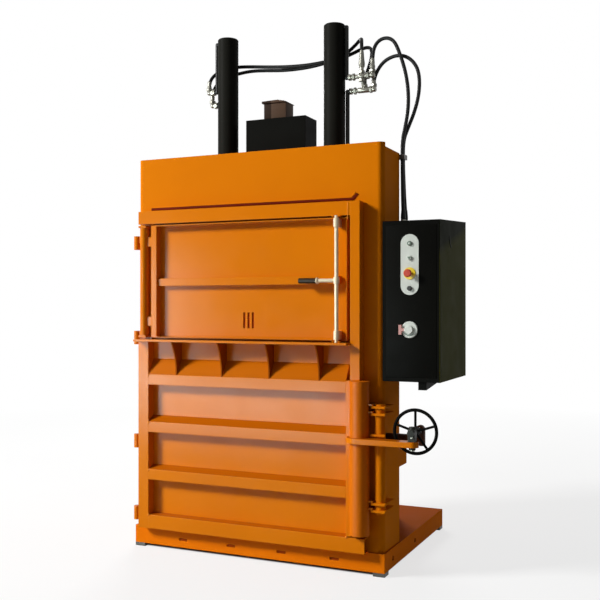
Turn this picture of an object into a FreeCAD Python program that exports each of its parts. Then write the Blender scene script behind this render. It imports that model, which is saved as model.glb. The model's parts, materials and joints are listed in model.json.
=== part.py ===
import FreeCAD, Part
import math
import os
import Sketcher
from types import SimpleNamespace

Vector = FreeCAD.Vector

# Driving dimensions in millimetres. X is the width, Y the depth (the doors face -Y), Z is up.
# The origin is on the floor, at the centre of the four foot pads.
SIZES = {
    # base frame and its foot pads
    "base_width": 1430,
    "base_depth": 1048,
    "base_top": 112,
    "base_sheet": 8,
    "pad_height": 18,
    "pad_side": 60,
    "pad_hole_radius": 8.5,
    "strap_pitch": 289,
    "strap_shift": 20,
    "slot_width": 50,
    "slot_height": 14,
    "slot_level": 61,
    "lifting_hole_radius": 13,
    "lifting_hole_pitch": 371,
    "lifting_hole_shift": 210,
    # folded front frame: header and two posts
    "front_setback": 10,
    "body_width": 1410,
    "header_top": 2100,
    "flange_top": 2080,
    "flange_depth": 250,
    "frame_sheet": 6,
    "bend_radius": 30,
    "opening_top": 1720,
    # press chamber
    "chamber_width": 1090,
    "chamber_depth": 700,
    "chamber_sheet": 8,
    "belt_depth": 34,
    "belt_height": 90,
    "belt_sheet": 6,
    "belt_level": 420,
    "belt_pitch": 560,
    "deck_level": 1960,
    "deck_thickness": 25,
    # cylinders, rods and press plate
    "cylinder_spread": 644,
    "cylinder_setback": 320,
    "cylinder_top": 2800,
    "barrel_radius": 57.5,
    "barrel_wall": 12,
    "barrel_chamfer": 5,
    "gland_length": 50,
    "gland_drop": 20,
    "flange_radius": 92,
    "flange_thickness": 22,
    "rod_radius": 30,
    "running_clearance": 0.05,
    "piston_length": 50,
    "piston_headroom": 8,
    "platen_bottom": 1790,
    "platen_thickness": 40,
    "platen_gap": 8,
    "beam_height": 70,
    "beam_depth": 150,
    "groove_width": 44,
    "groove_height": 16,
    # main door
    "door_gap": 4,
    "door_sheet": 6,
    "door_depth": 60,
    "door_bottom": 115,
    "door_top": 1812,
    "hinge_side_inset": 42,
    "lock_side_inset": 99,
    "stile_width": 63,
    "upper_stile_depth": 14,
    "post_width": 49,
    "top_rail_height": 68,
    "bottom_rail_top": 188,
    "bottom_rail_reach": 24,
    "rib_height": 55,
    "rib_pitch": 254,
    "upper_rib_drop": 188,
    "upper_rib_slope": 82,
    "middle_rib_slope": 32,
    "lower_rib_slope": 21,
    "bottom_rail_slope": 5,
    "rib_sheet": 5,
    "shelf_top": 1128,
    "shelf_sheet": 12,
    "shelf_reach": 50,
    "gusset_sheet": 8,
    "gusset_pitch": 273,
    "gusset_shift": 16,
    "scoop_radius": 300,
    "scoop_reach": 300,
    "scoop_rise": 13,
    "end_bar_inset": 71,
    "end_bar_width": 34,
    # door hinges
    "hinge_radius": 17,
    "hinge_height": 73,
    "hinge_pin_radius": 8,
    "hinge_axis_inset": 8,
    "hinge_axis_reach": 22,
    "hinge_leaf": 12,
    "hinge_lug_reach": 27,
    "top_hinge_level": 1647,
    "shelf_hinge_level": 1134,
    "middle_hinge_level": 574,
    "bottom_hinge_level": 184,
    "seat_gap": 0.2,
    # lock tube, arm and catch
    "post_bottom": 945,
    "tube_radius": 47.5,
    "tube_reach": 62,
    "tube_bottom": 207,
    "tube_wall": 6,
    "arm_level": 650,
    "arm_thickness": 26,
    "arm_collar_radius": 64,
    "arm_tail_width": 60,
    "arm_length": 273,
    "catch_rod_radius": 26,
    "catch_rod_inset": 3,
    "catch_rod_reach": 36,
    "catch_rod_bottom": 312,
    "catch_rod_top": 836,
    "catch_plate": 11,
    "catch_wrap": 33,
    "catch_return": 70,
    "prong_plate": 9,
    "prong_gap": 1,
    "upper_catch_level": 783,
    "middle_catch_level": 684,
    "lower_catch_level": 322,
    "catch_plate_pitch": 34,
    # clamp screw
    "spindle_radius": 11,
    "spindle_head_radius": 17,
    "spindle_head_length": 12,
    "block_side": 34,
    "block_top_cover": 17,
    "trunnion_radius": 10,
    "trunnion_nut_radius": 16,
    "trunnion_nut_height": 12,
    "spindle_level": 716,
    "wheel_radius": 110,
    "rim_radius": 8,
    "wheel_reach": 46,
    "hub_radius": 20,
    "hub_length": 36,
    "spoke_radius": 6,
    "nut_setback": 19,
    "nut_thickness": 26,
    "nut_height": 50,
    "nut_level": 665,
    "nut_eye_radius": 22,
    "thread_clearance": 1.2,
    "thread_entry": 8,
    # feed door
    "feed_gap": 9,
    "feed_side_gap": 17,
    "pan_sheet": 5,
    "pan_recess": 41,
    "pan_lip": 33,
    "pan_front_gap": 2,
    "feed_frame_lap": 25,
    "pan_rib_height": 40,
    "pan_rib_depth": 28,
    "pan_rib_rise": 275,
    "vent_width": 13,
    "vent_height": 81,
    "vent_pitch": 25,
    "vent_rise": 54,
    "vent_shift": 16,
    "feed_tube_radius": 23,
    "feed_tube_offset": 32,
    "feed_tube_reach": 50,
    "feed_pin_radius": 10,
    "feed_pin_length": 30,
    "feed_bracket_sheet": 11,
    "feed_strap_height": 50,
    # lock bar of the feed door
    "bar_radius": 10,
    "bar_inset": 48,
    "bar_reach": 75,
    "bearing_radius": 15,
    "bearing_length": 42,
    "keeper_height": 7,
    "lever_rise": 301,
    "lever_radius": 8,
    "lever_length": 198,
    "grip_radius": 13.5,
    "grip_length": 92,
    "grip_end": 7,
    # power cabinet and its controls
    "cabinet_width": 282,
    "cabinet_depth": 500,
    "cabinet_bottom": 945,
    "cabinet_front_top": 1712,
    "cabinet_back_top": 1740,
    "cabinet_sheet": 3,
    "cabinet_reach": 10,
    "support_rail_offset": 194,
    "support_rail_length": 300,
    "support_rail_width": 40,
    "support_rail_height": 38,
    "support_rail_tip": 4,
    "tank_inset": 15,
    "tank_setback": 112,
    "tank_depth": 368,
    "tank_height": 277,
    "motor_radius": 70,
    "motor_height": 282,
    "motor_setback": 308,
    "plate_width": 88.5,
    "plate_height": 289,
    "plate_sheet": 4,
    "plate_level": 1502,
    "controls_offset": 136,
    "button_radius": 11,
    "button_reach": 9,
    "button_travel": 4,
    "button_gap": 0.3,
    "button_round": 2,
    "start_button_level": 1602,
    "return_button_level": 1533,
    "stop_button_level": 1460,
    "key_switch_level": 1389,
    "stop_button_radius": 19,
    "stop_collar_radius": 29,
    "stop_collar_height": 3,
    "stop_head_gap": 19,
    "stop_head_height": 14,
    "stop_head_round": 4,
    "switch_level": 1193,
    "switch_radius": 40,
    "switch_reach": 10,
    "knob_radius": 20,
    "knob_reach": 12,
    "handle_length": 50,
    "handle_width": 14,
    "handle_end": 46,
    # top cover and terminal box
    "cover_setback": 262,
    "cover_width": 356,
    "cover_depth": 152,
    "cover_top": 2323,
    "cover_sheet": 3,
    "terminal_width": 140,
    "terminal_shift": 10,
    "terminal_depth": 90,
    "terminal_height": 92,
    "terminal_lid": 12,
    # pipes and hoses
    "pipe_radius": 11,
    "upper_port_drop": 288,
    "lower_port_drop": 355,
    "pipe_gap": 1,
    "port_swing": 28,
    "port_swing_back": 5.5,
    "tee_reach": 84.5,
    "elbow_reach": 144.5,
    "lower_elbow_reach": 147,
    "lower_tee_reach": 96,
    "left_elbow_reach": 51.5,
    "tee_drop": 225,
    "elbow_drop": 248,
    "lower_elbow_drop": 342,
    "lower_tee_drop": 335,
    "left_elbow_drop": 270,
    "upper_pipe_drop": 20,
    "lower_pipe_start": 34,
    "fitting_radius": 13,
    "fitting_nut_radius": 17,
    "hose_radius": 9.5,
    "clip_level": 2062,
    "clip_height": 24,
    "clip_depth": 50,
    "clip_reach": 26,
    "gland_radius": 12,
    "gland_top": 1750,
    "gland_inset": 16,
    "gland_setback": 14,
    "gland_pitch": 38,
}

doc = FreeCAD.newDocument("Baler")
sheet = doc.addObject("Spreadsheet::Sheet", "Sizes")
for row, (alias, number) in enumerate(SIZES.items(), start=1):
    sheet.set(f"A{row}", alias)
    sheet.set(f"B{row}", str(number))
    sheet.setAlias(f"B{row}", alias)
doc.recompute()


class Size:
    """A length that knows its formula over the sheet and its present value."""

    def __init__(self, formula, value):
        self.formula = formula
        self.value = value

    def combine(self, sign, other, value):
        return Size(f"({self.formula} {sign} {other.formula})", value)

    def __add__(self, other):
        other = as_size(other)
        return self.combine("+", other, self.value + other.value)

    def __sub__(self, other):
        other = as_size(other)
        return self.combine("-", other, self.value - other.value)

    def __mul__(self, other):
        other = as_size(other)
        return self.combine("*", other, self.value * other.value)

    def __truediv__(self, other):
        other = as_size(other)
        return self.combine("/", other, self.value / other.value)

    def __neg__(self):
        return as_size(0) - self


def as_size(number):
    return number if isinstance(number, Size) else Size(repr(float(number)), float(number))


S = SimpleNamespace(**{alias: Size(f"Sizes.{alias}", float(sheet.get(alias))) for alias in SIZES})
ZERO = as_size(0)

# Places that several pieces share
FRONT = S.front_setback - S.base_depth / 2        # front plane of the body
BODY_SIDE = S.body_width / 2
DOOR_LEFT = S.hinge_side_inset - BODY_SIDE
DOOR_RIGHT = BODY_SIDE - S.lock_side_inset
DOOR_FACE = FRONT - S.door_depth
PANEL_BACK = FRONT - S.door_gap
PANEL_FACE = PANEL_BACK - S.door_sheet
STILE_RIGHT = DOOR_LEFT + S.stile_width
POST_LEFT = DOOR_RIGHT - S.post_width
RAIL_BOTTOM = S.door_top - S.top_rail_height
SHELF_BOTTOM = S.shelf_top - S.shelf_sheet
SHELF_FRONT = DOOR_FACE - S.shelf_reach
UPPER_RIB_TOP = S.shelf_top - S.upper_rib_drop
TUBE_Y = FRONT - S.tube_reach
CHAMBER_FRONT = FRONT + S.frame_sheet
CHAMBER_BACK = CHAMBER_FRONT + S.chamber_depth
CHAMBER_SIDE = S.chamber_width / 2
CYLINDER_Y = FRONT + S.cylinder_setback
CYLINDER_X = S.cylinder_spread / 2
DECK_TOP = S.deck_level + S.deck_thickness
SCREW_X = DOOR_RIGHT + S.arm_length
ARM_Y = TUBE_Y - S.arm_collar_radius + S.arm_tail_width / 2
FEED_LEFT = STILE_RIGHT + S.feed_side_gap
FEED_RIGHT = POST_LEFT - S.feed_side_gap
FEED_BOTTOM = S.shelf_top + S.feed_gap
FEED_TOP = RAIL_BOTTOM - S.feed_gap
FEED_AXIS_X = DOOR_LEFT + S.feed_tube_offset
FEED_AXIS_Y = FRONT - S.feed_tube_reach
PAN_FACE = PANEL_FACE - S.pan_front_gap - S.pan_sheet
PAN_FRONT = PAN_FACE - S.pan_recess
PAN_RIB_LOW = FEED_BOTTOM + S.pan_rib_rise
LEVER_LEVEL = S.shelf_top + S.lever_rise
BAR_X = FEED_RIGHT - S.bar_inset
BAR_Y = FRONT - S.bar_reach
CABINET_FRONT = FRONT - S.cabinet_reach
CONTROLS_X = BODY_SIDE + S.controls_offset
PLATE_FACE = CABINET_FRONT - S.plate_sheet
UPPER_PIPE_X = CYLINDER_X + S.barrel_radius + S.pipe_gap + S.pipe_radius
LOWER_PIPE_X = UPPER_PIPE_X - S.port_swing_back
LOWER_PIPE_Y = CYLINDER_Y + S.port_swing
TEE_TOP = S.cylinder_top - S.tee_drop
ELBOW_TOP = S.cylinder_top - S.elbow_drop
LOWER_ELBOW_TOP = S.cylinder_top - S.lower_elbow_drop
LOWER_TEE_TOP = S.cylinder_top - S.lower_tee_drop
LEFT_ELBOW_TOP = S.cylinder_top - S.left_elbow_drop

NODES = {}


def keep(name, item):
    """Name a finished sub-part; the name is also its file's name."""
    item.Label = name
    NODES[name] = item
    return item


# Sketches and the features made from them

PLANES = {"Z": "XY_Plane", "Y": "XZ_Plane", "X": "YZ_Plane"}


def new_body(name):
    return doc.addObject("PartDesign::Body", f"{name}_body")


def new_sketch(body, axis, level):
    """A sketch square to an axis of the body, at a level along it."""
    sketch = body.newObject("Sketcher::SketchObject", f"{body.Name}_sketch")
    plane = next(p for p in body.Origin.OriginFeatures if p.Role == PLANES[axis])
    sketch.AttachmentSupport = [(plane, "")]
    sketch.MapMode = "FlatFace"
    offset = -level if axis == "Y" else level
    sketch.setExpression("AttachmentOffset.Base.z", offset.formula)
    return sketch


def pin_point(sketch, geometry, point, place):
    """Hold a sketch point at its two distances from the origin."""
    for kind, distance in (("DistanceX", place[0]), ("DistanceY", place[1])):
        rule = Sketcher.Constraint(kind, -1, 1, geometry, point, distance.value)
        index = sketch.addConstraint(rule)
        sketch.setExpression(f"Constraints[{index}]", distance.formula)


def draw_outline(sketch, corners):
    corners = [(as_size(a), as_size(b)) for a, b in corners]
    first = sketch.GeometryCount
    count = len(corners)
    for index, start in enumerate(corners):
        end = corners[(index + 1) % count]
        line = Part.LineSegment(Vector(start[0].value, start[1].value, 0),
                                Vector(end[0].value, end[1].value, 0))
        sketch.addGeometry(line)
    for index, corner in enumerate(corners):
        follower = first + (index + 1) % count
        sketch.addConstraint(Sketcher.Constraint("Coincident", first + index, 2, follower, 1))
        pin_point(sketch, first + index, 1, corner)


def draw_circle(sketch, centre, radius):
    centre = (as_size(centre[0]), as_size(centre[1]))
    circle = Part.Circle(Vector(centre[0].value, centre[1].value, 0), Vector(0, 0, 1), radius.value)
    index = sketch.addGeometry(circle)
    pin_point(sketch, index, 3, centre)
    rule = sketch.addConstraint(Sketcher.Constraint("Radius", index, radius.value))
    sketch.setExpression(f"Constraints[{rule}]", radius.formula)


def rectangle(left, right, low, high):
    return [(left, low), (right, low), (right, high), (left, high)]


def pad(body, axis, shapes, low, high):
    """Add material between two levels along an axis."""
    low, high = as_size(low), as_size(high)
    sketch = new_sketch(body, axis, high if axis == "Y" else low)
    draw_shapes(sketch, shapes)
    feature = body.newObject("PartDesign::Pad", f"{body.Name}_pad")
    feature.Profile = sketch
    feature.setExpression("Length", (high - low).formula)
    return feature


def pocket(body, axis, shapes, low, high):
    """Take material away between two levels along an axis."""
    low, high = as_size(low), as_size(high)
    sketch = new_sketch(body, axis, low if axis == "Y" else high)
    draw_shapes(sketch, shapes)
    feature = body.newObject("PartDesign::Pocket", f"{body.Name}_pocket")
    feature.Profile = sketch
    feature.setExpression("Length", (high - low).formula)
    return feature


def draw_shapes(sketch, shapes):
    """Each shape is a list of corners, or a circle given as (centre, radius)."""
    for shape in shapes:
        if isinstance(shape, tuple):
            draw_circle(sketch, shape[0], shape[1])
        else:
            draw_outline(sketch, shape)


def place(item, x, y, z, direction=(0, 0, 1)):
    """Stand an item's own Z along a direction and bind its place."""
    item.Placement = FreeCAD.Placement(Vector(), FreeCAD.Rotation(Vector(0, 0, 1), Vector(direction)))
    for key, value in (("x", x), ("y", y), ("z", z)):
        item.setExpression(f"Placement.Base.{key}", as_size(value).formula)
    return item


def turned(name, profile, x, y, z, direction=(0, 0, 1)):
    """A turned piece: a half profile of (radius, height) corners, spun about its axis."""
    body = new_body(name)
    sketch = new_sketch(body, "Y", ZERO)
    draw_outline(sketch, profile)
    spin = body.newObject("PartDesign::Revolution", f"{name}_turn")
    spin.Profile = sketch
    spin.ReferenceAxis = (sketch, ["V_Axis"])
    spin.Angle = 360
    return place(body, x, y, z, direction)


def block(name, left, right, front, back, low, high):
    """A plate or bar given by its six faces."""
    box = doc.addObject("Part::Box", f"{name}_box")
    left, right, front, back, low, high = map(as_size, (left, right, front, back, low, high))
    box.setExpression("Length", (right - left).formula)
    box.setExpression("Width", (back - front).formula)
    box.setExpression("Height", (high - low).formula)
    return place(box, left, front, low)


def rod(name, radius, length, x, y, z, direction=(0, 0, 1)):
    bar = doc.addObject("Part::Cylinder", f"{name}_rod")
    bar.setExpression("Radius", as_size(radius).formula)
    bar.setExpression("Height", as_size(length).formula)
    return place(bar, x, y, z, direction)


def plate(name, axis, shapes, low, high):
    """A plate cut to an outline, square to an axis."""
    body = new_body(name)
    pad(body, axis, shapes, low, high)
    return body


def group(name, pieces):
    """Like pieces that share one name."""
    bundle = doc.addObject("Part::Compound", f"{name}_set")
    bundle.Links = pieces
    return bundle


def fuse(name, pieces):
    joined = doc.addObject("Part::MultiFuse", f"{name}_fuse")
    joined.Shapes = pieces
    joined.Refine = True
    return joined


def strap_places(pitch, shift):
    """Four places across the width, evenly spaced about a shifted centre."""
    return [pitch * (number - 1.5) + shift for number in range(4)]


def make_base():
    """A tray turned upside down, open underneath, on four pads with holes for machine feet."""
    side = S.base_width / 2
    end = S.base_depth / 2
    wall = S.base_sheet
    body = new_body("base_frame")
    pad(body, "Z", [rectangle(-side, side, -end, end)], S.pad_height, S.base_top)
    bay = (S.base_width - wall * 4) / 3
    bays = []
    for number in range(3):
        left = wall - side + (bay + wall) * number
        bays.append(rectangle(left, left + bay, wall - end, end - wall))
    pocket(body, "Z", bays, S.pad_height, S.base_top - wall)
    half_slot = S.slot_width / 2
    slots = []
    for middle in strap_places(S.strap_pitch, S.strap_shift):
        slots.append(rectangle(middle - half_slot, middle + half_slot,
                               S.slot_level - S.slot_height / 2, S.slot_level + S.slot_height / 2))
    pocket(body, "Y", slots, -end, wall - end)
    holes = []
    for sign in (-1, 1):
        y = S.lifting_hole_pitch / 2 * sign - S.lifting_hole_shift
        holes.append(((y, S.slot_level), S.lifting_hole_radius))
    pocket(body, "X", holes, side - wall, side)
    keep("base_frame", body)
    pads = []
    for number, (right, back) in enumerate(((-1, -1), (1, -1), (-1, 1), (1, 1))):
        x = (side - S.pad_side / 2) * right
        y = (end - S.pad_side / 2) * back
        half = S.pad_side / 2
        foot = new_body(f"foot_pad_{number}")
        pad(foot, "Z", [rectangle(x - half, x + half, y - half, y + half)], ZERO, S.pad_height)
        pocket(foot, "Z", [((x, y), S.pad_hole_radius)], ZERO, S.pad_height)
        pads.append(foot)
    keep("foot_pads", group("foot_pads", pads))


def make_front_frame():
    """One folded sheet: the header and the two posts, with a flange turned back at each side."""
    wall = S.frame_sheet
    back = FRONT + S.flange_depth
    body = new_body("front_frame")
    channel = [(-BODY_SIDE, FRONT), (BODY_SIDE, FRONT), (BODY_SIDE, back),
               (BODY_SIDE - wall, back), (BODY_SIDE - wall, FRONT + wall),
               (wall - BODY_SIDE, FRONT + wall), (wall - BODY_SIDE, back), (-BODY_SIDE, back)]
    folded = pad(body, "Z", [channel], S.base_top, S.header_top)
    doc.recompute()
    for reach, radius in ((ZERO, S.bend_radius), (wall, S.bend_radius - wall)):
        folded = round_bends(body, folded, BODY_SIDE - reach, FRONT + reach, radius)
    pocket(body, "Y", [rectangle(-CHAMBER_SIDE, CHAMBER_SIDE, S.base_top, S.opening_top)],
           FRONT, FRONT + wall)
    trim_start = FRONT + S.bend_radius
    pocket(body, "X", [rectangle(trim_start, back, S.flange_top, S.header_top)],
           -BODY_SIDE, BODY_SIDE)
    keep("front_frame", body)


def round_bends(body, feature, x, y, radius):
    """Round the two upright edges at plus and minus x."""
    names = []
    for index, edge in enumerate(feature.Shape.Edges, start=1):
        middle = edge.BoundBox.Center
        upright = edge.BoundBox.XLength < 0.01 and edge.BoundBox.YLength < 0.01
        if upright and abs(abs(middle.x) - x.value) < 0.01 and abs(middle.y - y.value) < 0.01:
            names.append(f"Edge{index}")
    bend = body.newObject("PartDesign::Fillet", f"{body.Name}_bend")
    bend.Base = (feature, names)
    bend.setExpression("Radius", radius.formula)
    doc.recompute()
    return bend


def make_chamber():
    """Side and back walls of the press chamber, the belts that stiffen it, and the deck on top."""
    wall = S.chamber_sheet
    outer = CHAMBER_SIDE + wall
    walls = [(-outer, CHAMBER_FRONT), (-CHAMBER_SIDE, CHAMBER_FRONT), (-CHAMBER_SIDE, CHAMBER_BACK),
             (CHAMBER_SIDE, CHAMBER_BACK), (CHAMBER_SIDE, CHAMBER_FRONT), (outer, CHAMBER_FRONT),
             (outer, CHAMBER_BACK + wall), (-outer, CHAMBER_BACK + wall)]
    body = plate("chamber_shell", "Z", [walls], S.base_top, S.deck_level)
    keep("chamber_shell", body)
    belts = []
    back = CHAMBER_BACK + wall
    start = FRONT + S.flange_depth
    for number in range(3):
        low = S.belt_level + S.belt_pitch * number
        high = low + S.belt_height
        belt = new_body(f"chamber_belt_{number}")
        reach = outer + S.belt_depth
        ring = [(-reach, start), (-outer, start), (-outer, back), (outer, back), (outer, start),
                (reach, start), (reach, back + S.belt_depth), (-reach, back + S.belt_depth)]
        pad(belt, "Z", [ring], low, high)
        inner = reach - S.belt_sheet
        hollow = [(-inner, start), (-outer, start), (-outer, back), (outer, back), (outer, start),
                  (inner, start), (inner, back + S.belt_depth - S.belt_sheet),
                  (-inner, back + S.belt_depth - S.belt_sheet)]
        pocket(belt, "Z", [hollow], low + S.belt_sheet, high - S.belt_sheet)
        belts.append(belt)
    keep("chamber_belts", group("chamber_belts", belts))
    deck = new_body("top_deck")
    holes = [((CYLINDER_X * sign, CYLINDER_Y), S.barrel_radius + S.seat_gap) for sign in (-1, 1)]
    pad(deck, "Z", [rectangle(-outer, outer, CHAMBER_FRONT, back)], S.deck_level, DECK_TOP)
    pocket(deck, "Z", holes, S.deck_level, DECK_TOP)
    keep("top_deck", deck)


def make_cylinders():
    """Barrels on the deck, with the rods and pistons that carry the press plate."""
    bore = S.barrel_radius - S.barrel_wall
    gland_bottom = S.deck_level - S.gland_drop
    gland_top = gland_bottom + S.gland_length
    bore_top = S.cylinder_top - S.barrel_wall * 2
    gland_bore = S.rod_radius + S.running_clearance
    flange_top = DECK_TOP + S.flange_thickness
    barrel = [(gland_bore, gland_bottom), (S.barrel_radius, gland_bottom),
              (S.barrel_radius, DECK_TOP), (S.flange_radius, DECK_TOP),
              (S.flange_radius, flange_top), (S.barrel_radius, flange_top),
              (S.barrel_radius, S.cylinder_top - S.barrel_chamfer),
              (S.barrel_radius - S.barrel_chamfer, S.cylinder_top),
              (ZERO, S.cylinder_top), (ZERO, bore_top), (bore, bore_top),
              (bore, gland_top), (gland_bore, gland_top)]
    piston_top = bore_top - S.piston_headroom
    piston_bottom = piston_top - S.piston_length
    beam_top = S.platen_bottom + S.platen_thickness + S.beam_height
    piston = bore - S.running_clearance
    rod_profile = [(ZERO, beam_top), (S.rod_radius, beam_top), (S.rod_radius, piston_bottom),
                   (piston, piston_bottom), (piston, piston_top), (ZERO, piston_top)]
    rods = []
    for side, sign in (("left", -1), ("right", 1)):
        x = CYLINDER_X * sign
        keep(f"{side}_cylinder", turned(f"{side}_cylinder", barrel, x, CYLINDER_Y, ZERO))
        rods.append(turned(f"{side}_piston_rod", rod_profile, x, CYLINDER_Y, ZERO))
    keep("piston_rods", group("piston_rods", rods))


def make_platen():
    """The press plate, grooved underneath for the straps, with a cross beam under the rods."""
    body = new_body("press_platen")
    side = CHAMBER_SIDE - S.platen_gap
    front = CHAMBER_FRONT + S.platen_gap
    back = CHAMBER_BACK - S.platen_gap
    top = S.platen_bottom + S.platen_thickness
    pad(body, "Z", [rectangle(-side, side, front, back)], S.platen_bottom, top)
    reach = CYLINDER_X + S.beam_depth / 2
    beam = rectangle(-reach, reach, CYLINDER_Y - S.beam_depth / 2, CYLINDER_Y + S.beam_depth / 2)
    pad(body, "Z", [beam], top, top + S.beam_height)
    grooves = []
    for middle in strap_places(S.strap_pitch, S.strap_shift):
        grooves.append(rectangle(middle - S.groove_width / 2, middle + S.groove_width / 2,
                                 S.platen_bottom, S.platen_bottom + S.groove_height))
    pocket(body, "Y", grooves, front, back)
    keep("press_platen", body)


def folded_rib(name, low, high, slope, right):
    """A folded rib: a flat face with a sloped top and a flat underside, open to the door skin."""
    sheet_t = S.rib_sheet
    rise = slope * sheet_t / (PANEL_FACE - DOOR_FACE)
    profile = [(PANEL_FACE, high + slope), (DOOR_FACE, high), (DOOR_FACE, low), (PANEL_FACE, low),
               (PANEL_FACE, low + sheet_t), (DOOR_FACE + sheet_t, low + sheet_t),
               (DOOR_FACE + sheet_t, high + rise - sheet_t), (PANEL_FACE, high + slope - sheet_t)]
    return plate(name, "X", [profile], STILE_RIGHT, right)


def make_door_skin():
    lap = S.feed_frame_lap
    skin = new_body("door_skin")
    pad(skin, "Y", [rectangle(DOOR_LEFT, DOOR_RIGHT, S.door_bottom, S.door_top)],
        PANEL_FACE, PANEL_BACK)
    pocket(skin, "Y", [rectangle(FEED_LEFT + lap, FEED_RIGHT - lap, FEED_BOTTOM + lap,
                                 FEED_TOP - lap)], PANEL_FACE, PANEL_BACK)
    keep("door_skin", skin)


def make_door_frame():
    """Stiles, rails, ribs, shelf and gussets on the face of the skin."""
    door_y = (DOOR_FACE, PANEL_FACE)
    low_stile = block("door_low_stile", DOOR_LEFT, STILE_RIGHT, *door_y,
                      S.door_bottom, SHELF_BOTTOM)
    high_stile = block("door_high_stile", DOOR_LEFT, STILE_RIGHT,
                       PANEL_FACE - S.upper_stile_depth, PANEL_FACE, S.shelf_top, RAIL_BOTTOM)
    keep("door_hinge_stiles", group("door_hinge_stiles", [low_stile, high_stile]))

    end_left = DOOR_RIGHT - S.end_bar_inset
    end_right = end_left + S.end_bar_width
    low = S.bottom_rail_top + S.bottom_rail_slope
    end_bar = new_body("door_end_bar")
    pad(end_bar, "Z", [rectangle(end_left, end_right, *door_y)], low, S.post_bottom)
    pocket(end_bar, "Z", [((DOOR_RIGHT, TUBE_Y), S.tube_radius + S.seat_gap)], low, S.post_bottom)
    post = block("door_high_post", POST_LEFT, DOOR_RIGHT, *door_y, S.post_bottom, S.door_top)
    keep("door_lock_posts", group("door_lock_posts", [end_bar, post]))

    keep("door_top_rail", block("door_top_rail", DOOR_LEFT, POST_LEFT, *door_y,
                                RAIL_BOTTOM, S.door_top))
    rail = folded_rib("door_bottom_rail", S.door_bottom, S.bottom_rail_top, S.bottom_rail_slope,
                      DOOR_RIGHT + S.bottom_rail_reach)
    keep("door_bottom_rail", rail)
    ribs = []
    slopes = (S.upper_rib_slope, S.middle_rib_slope, S.lower_rib_slope)
    for number, slope in enumerate(slopes):
        top = UPPER_RIB_TOP - S.rib_pitch * number
        ribs.append(folded_rib(f"door_rib_{number}", top - S.rib_height, top, slope, end_left))
    keep("door_ribs", group("door_ribs", ribs))
    keep("door_shelf", block("door_shelf", DOOR_LEFT, POST_LEFT, SHELF_FRONT, PANEL_FACE,
                             SHELF_BOTTOM, S.shelf_top))
    make_gussets()


def make_gussets():
    """Four plates under the shelf; a large arc hollows out the front edge of each."""
    plates = []
    profile = [(PANEL_FACE, SHELF_BOTTOM), (SHELF_FRONT, SHELF_BOTTOM), (DOOR_FACE, UPPER_RIB_TOP),
               (PANEL_FACE, UPPER_RIB_TOP + S.upper_rib_slope)]
    centre = (DOOR_FACE - S.scoop_reach, UPPER_RIB_TOP + S.scoop_rise)
    for number, middle in enumerate(strap_places(S.gusset_pitch, -S.gusset_shift)):
        left = middle - S.gusset_sheet / 2
        right = middle + S.gusset_sheet / 2
        gusset = new_body(f"door_gusset_{number}")
        pad(gusset, "X", [profile], left, right)
        pocket(gusset, "X", [(centre, S.scoop_radius)], left, right)
        plates.append(gusset)
    keep("door_gussets", group("door_gussets", plates))


def make_door_hinges():
    """Weld-on hinges: a pin half on the frame below, a sleeve half on the door above."""
    axis_x = S.hinge_axis_inset - BODY_SIDE
    axis_y = FRONT - S.hinge_axis_reach
    half = S.hinge_height / 2
    leaf = S.hinge_leaf / 2
    pin_halves = []
    sleeves = []
    levels = (S.bottom_hinge_level, S.middle_hinge_level, S.shelf_hinge_level, S.top_hinge_level)
    for number, level in enumerate(levels):
        pin = [(ZERO, -half), (S.hinge_radius, -half), (S.hinge_radius, ZERO),
               (S.hinge_pin_radius, ZERO), (S.hinge_pin_radius, half), (ZERO, half)]
        knuckle = turned(f"hinge_pin_{number}", pin, axis_x, axis_y, level)
        lug = block(f"hinge_lug_{number}", axis_x, axis_x + S.hinge_lug_reach, axis_y, FRONT,
                    level - half, level)
        pin_halves.append(fuse(f"hinge_pin_half_{number}", [knuckle, lug]))
        bore = S.hinge_pin_radius + S.running_clearance
        sleeve = [(bore, S.seat_gap), (S.hinge_radius, S.seat_gap), (S.hinge_radius, half),
                  (bore, half)]
        barrel = turned(f"hinge_sleeve_{number}", sleeve, axis_x, axis_y, level)
        wing = block(f"hinge_wing_{number}", axis_x + S.hinge_leaf, DOOR_LEFT, axis_y - leaf,
                     axis_y + leaf, level + S.seat_gap, level + half)
        sleeves.append(fuse(f"hinge_sleeve_half_{number}", [barrel, wing]))
    keep("door_hinge_pins", group("door_hinge_pins", pin_halves))
    keep("door_hinge_sleeves", group("door_hinge_sleeves", sleeves))


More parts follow.
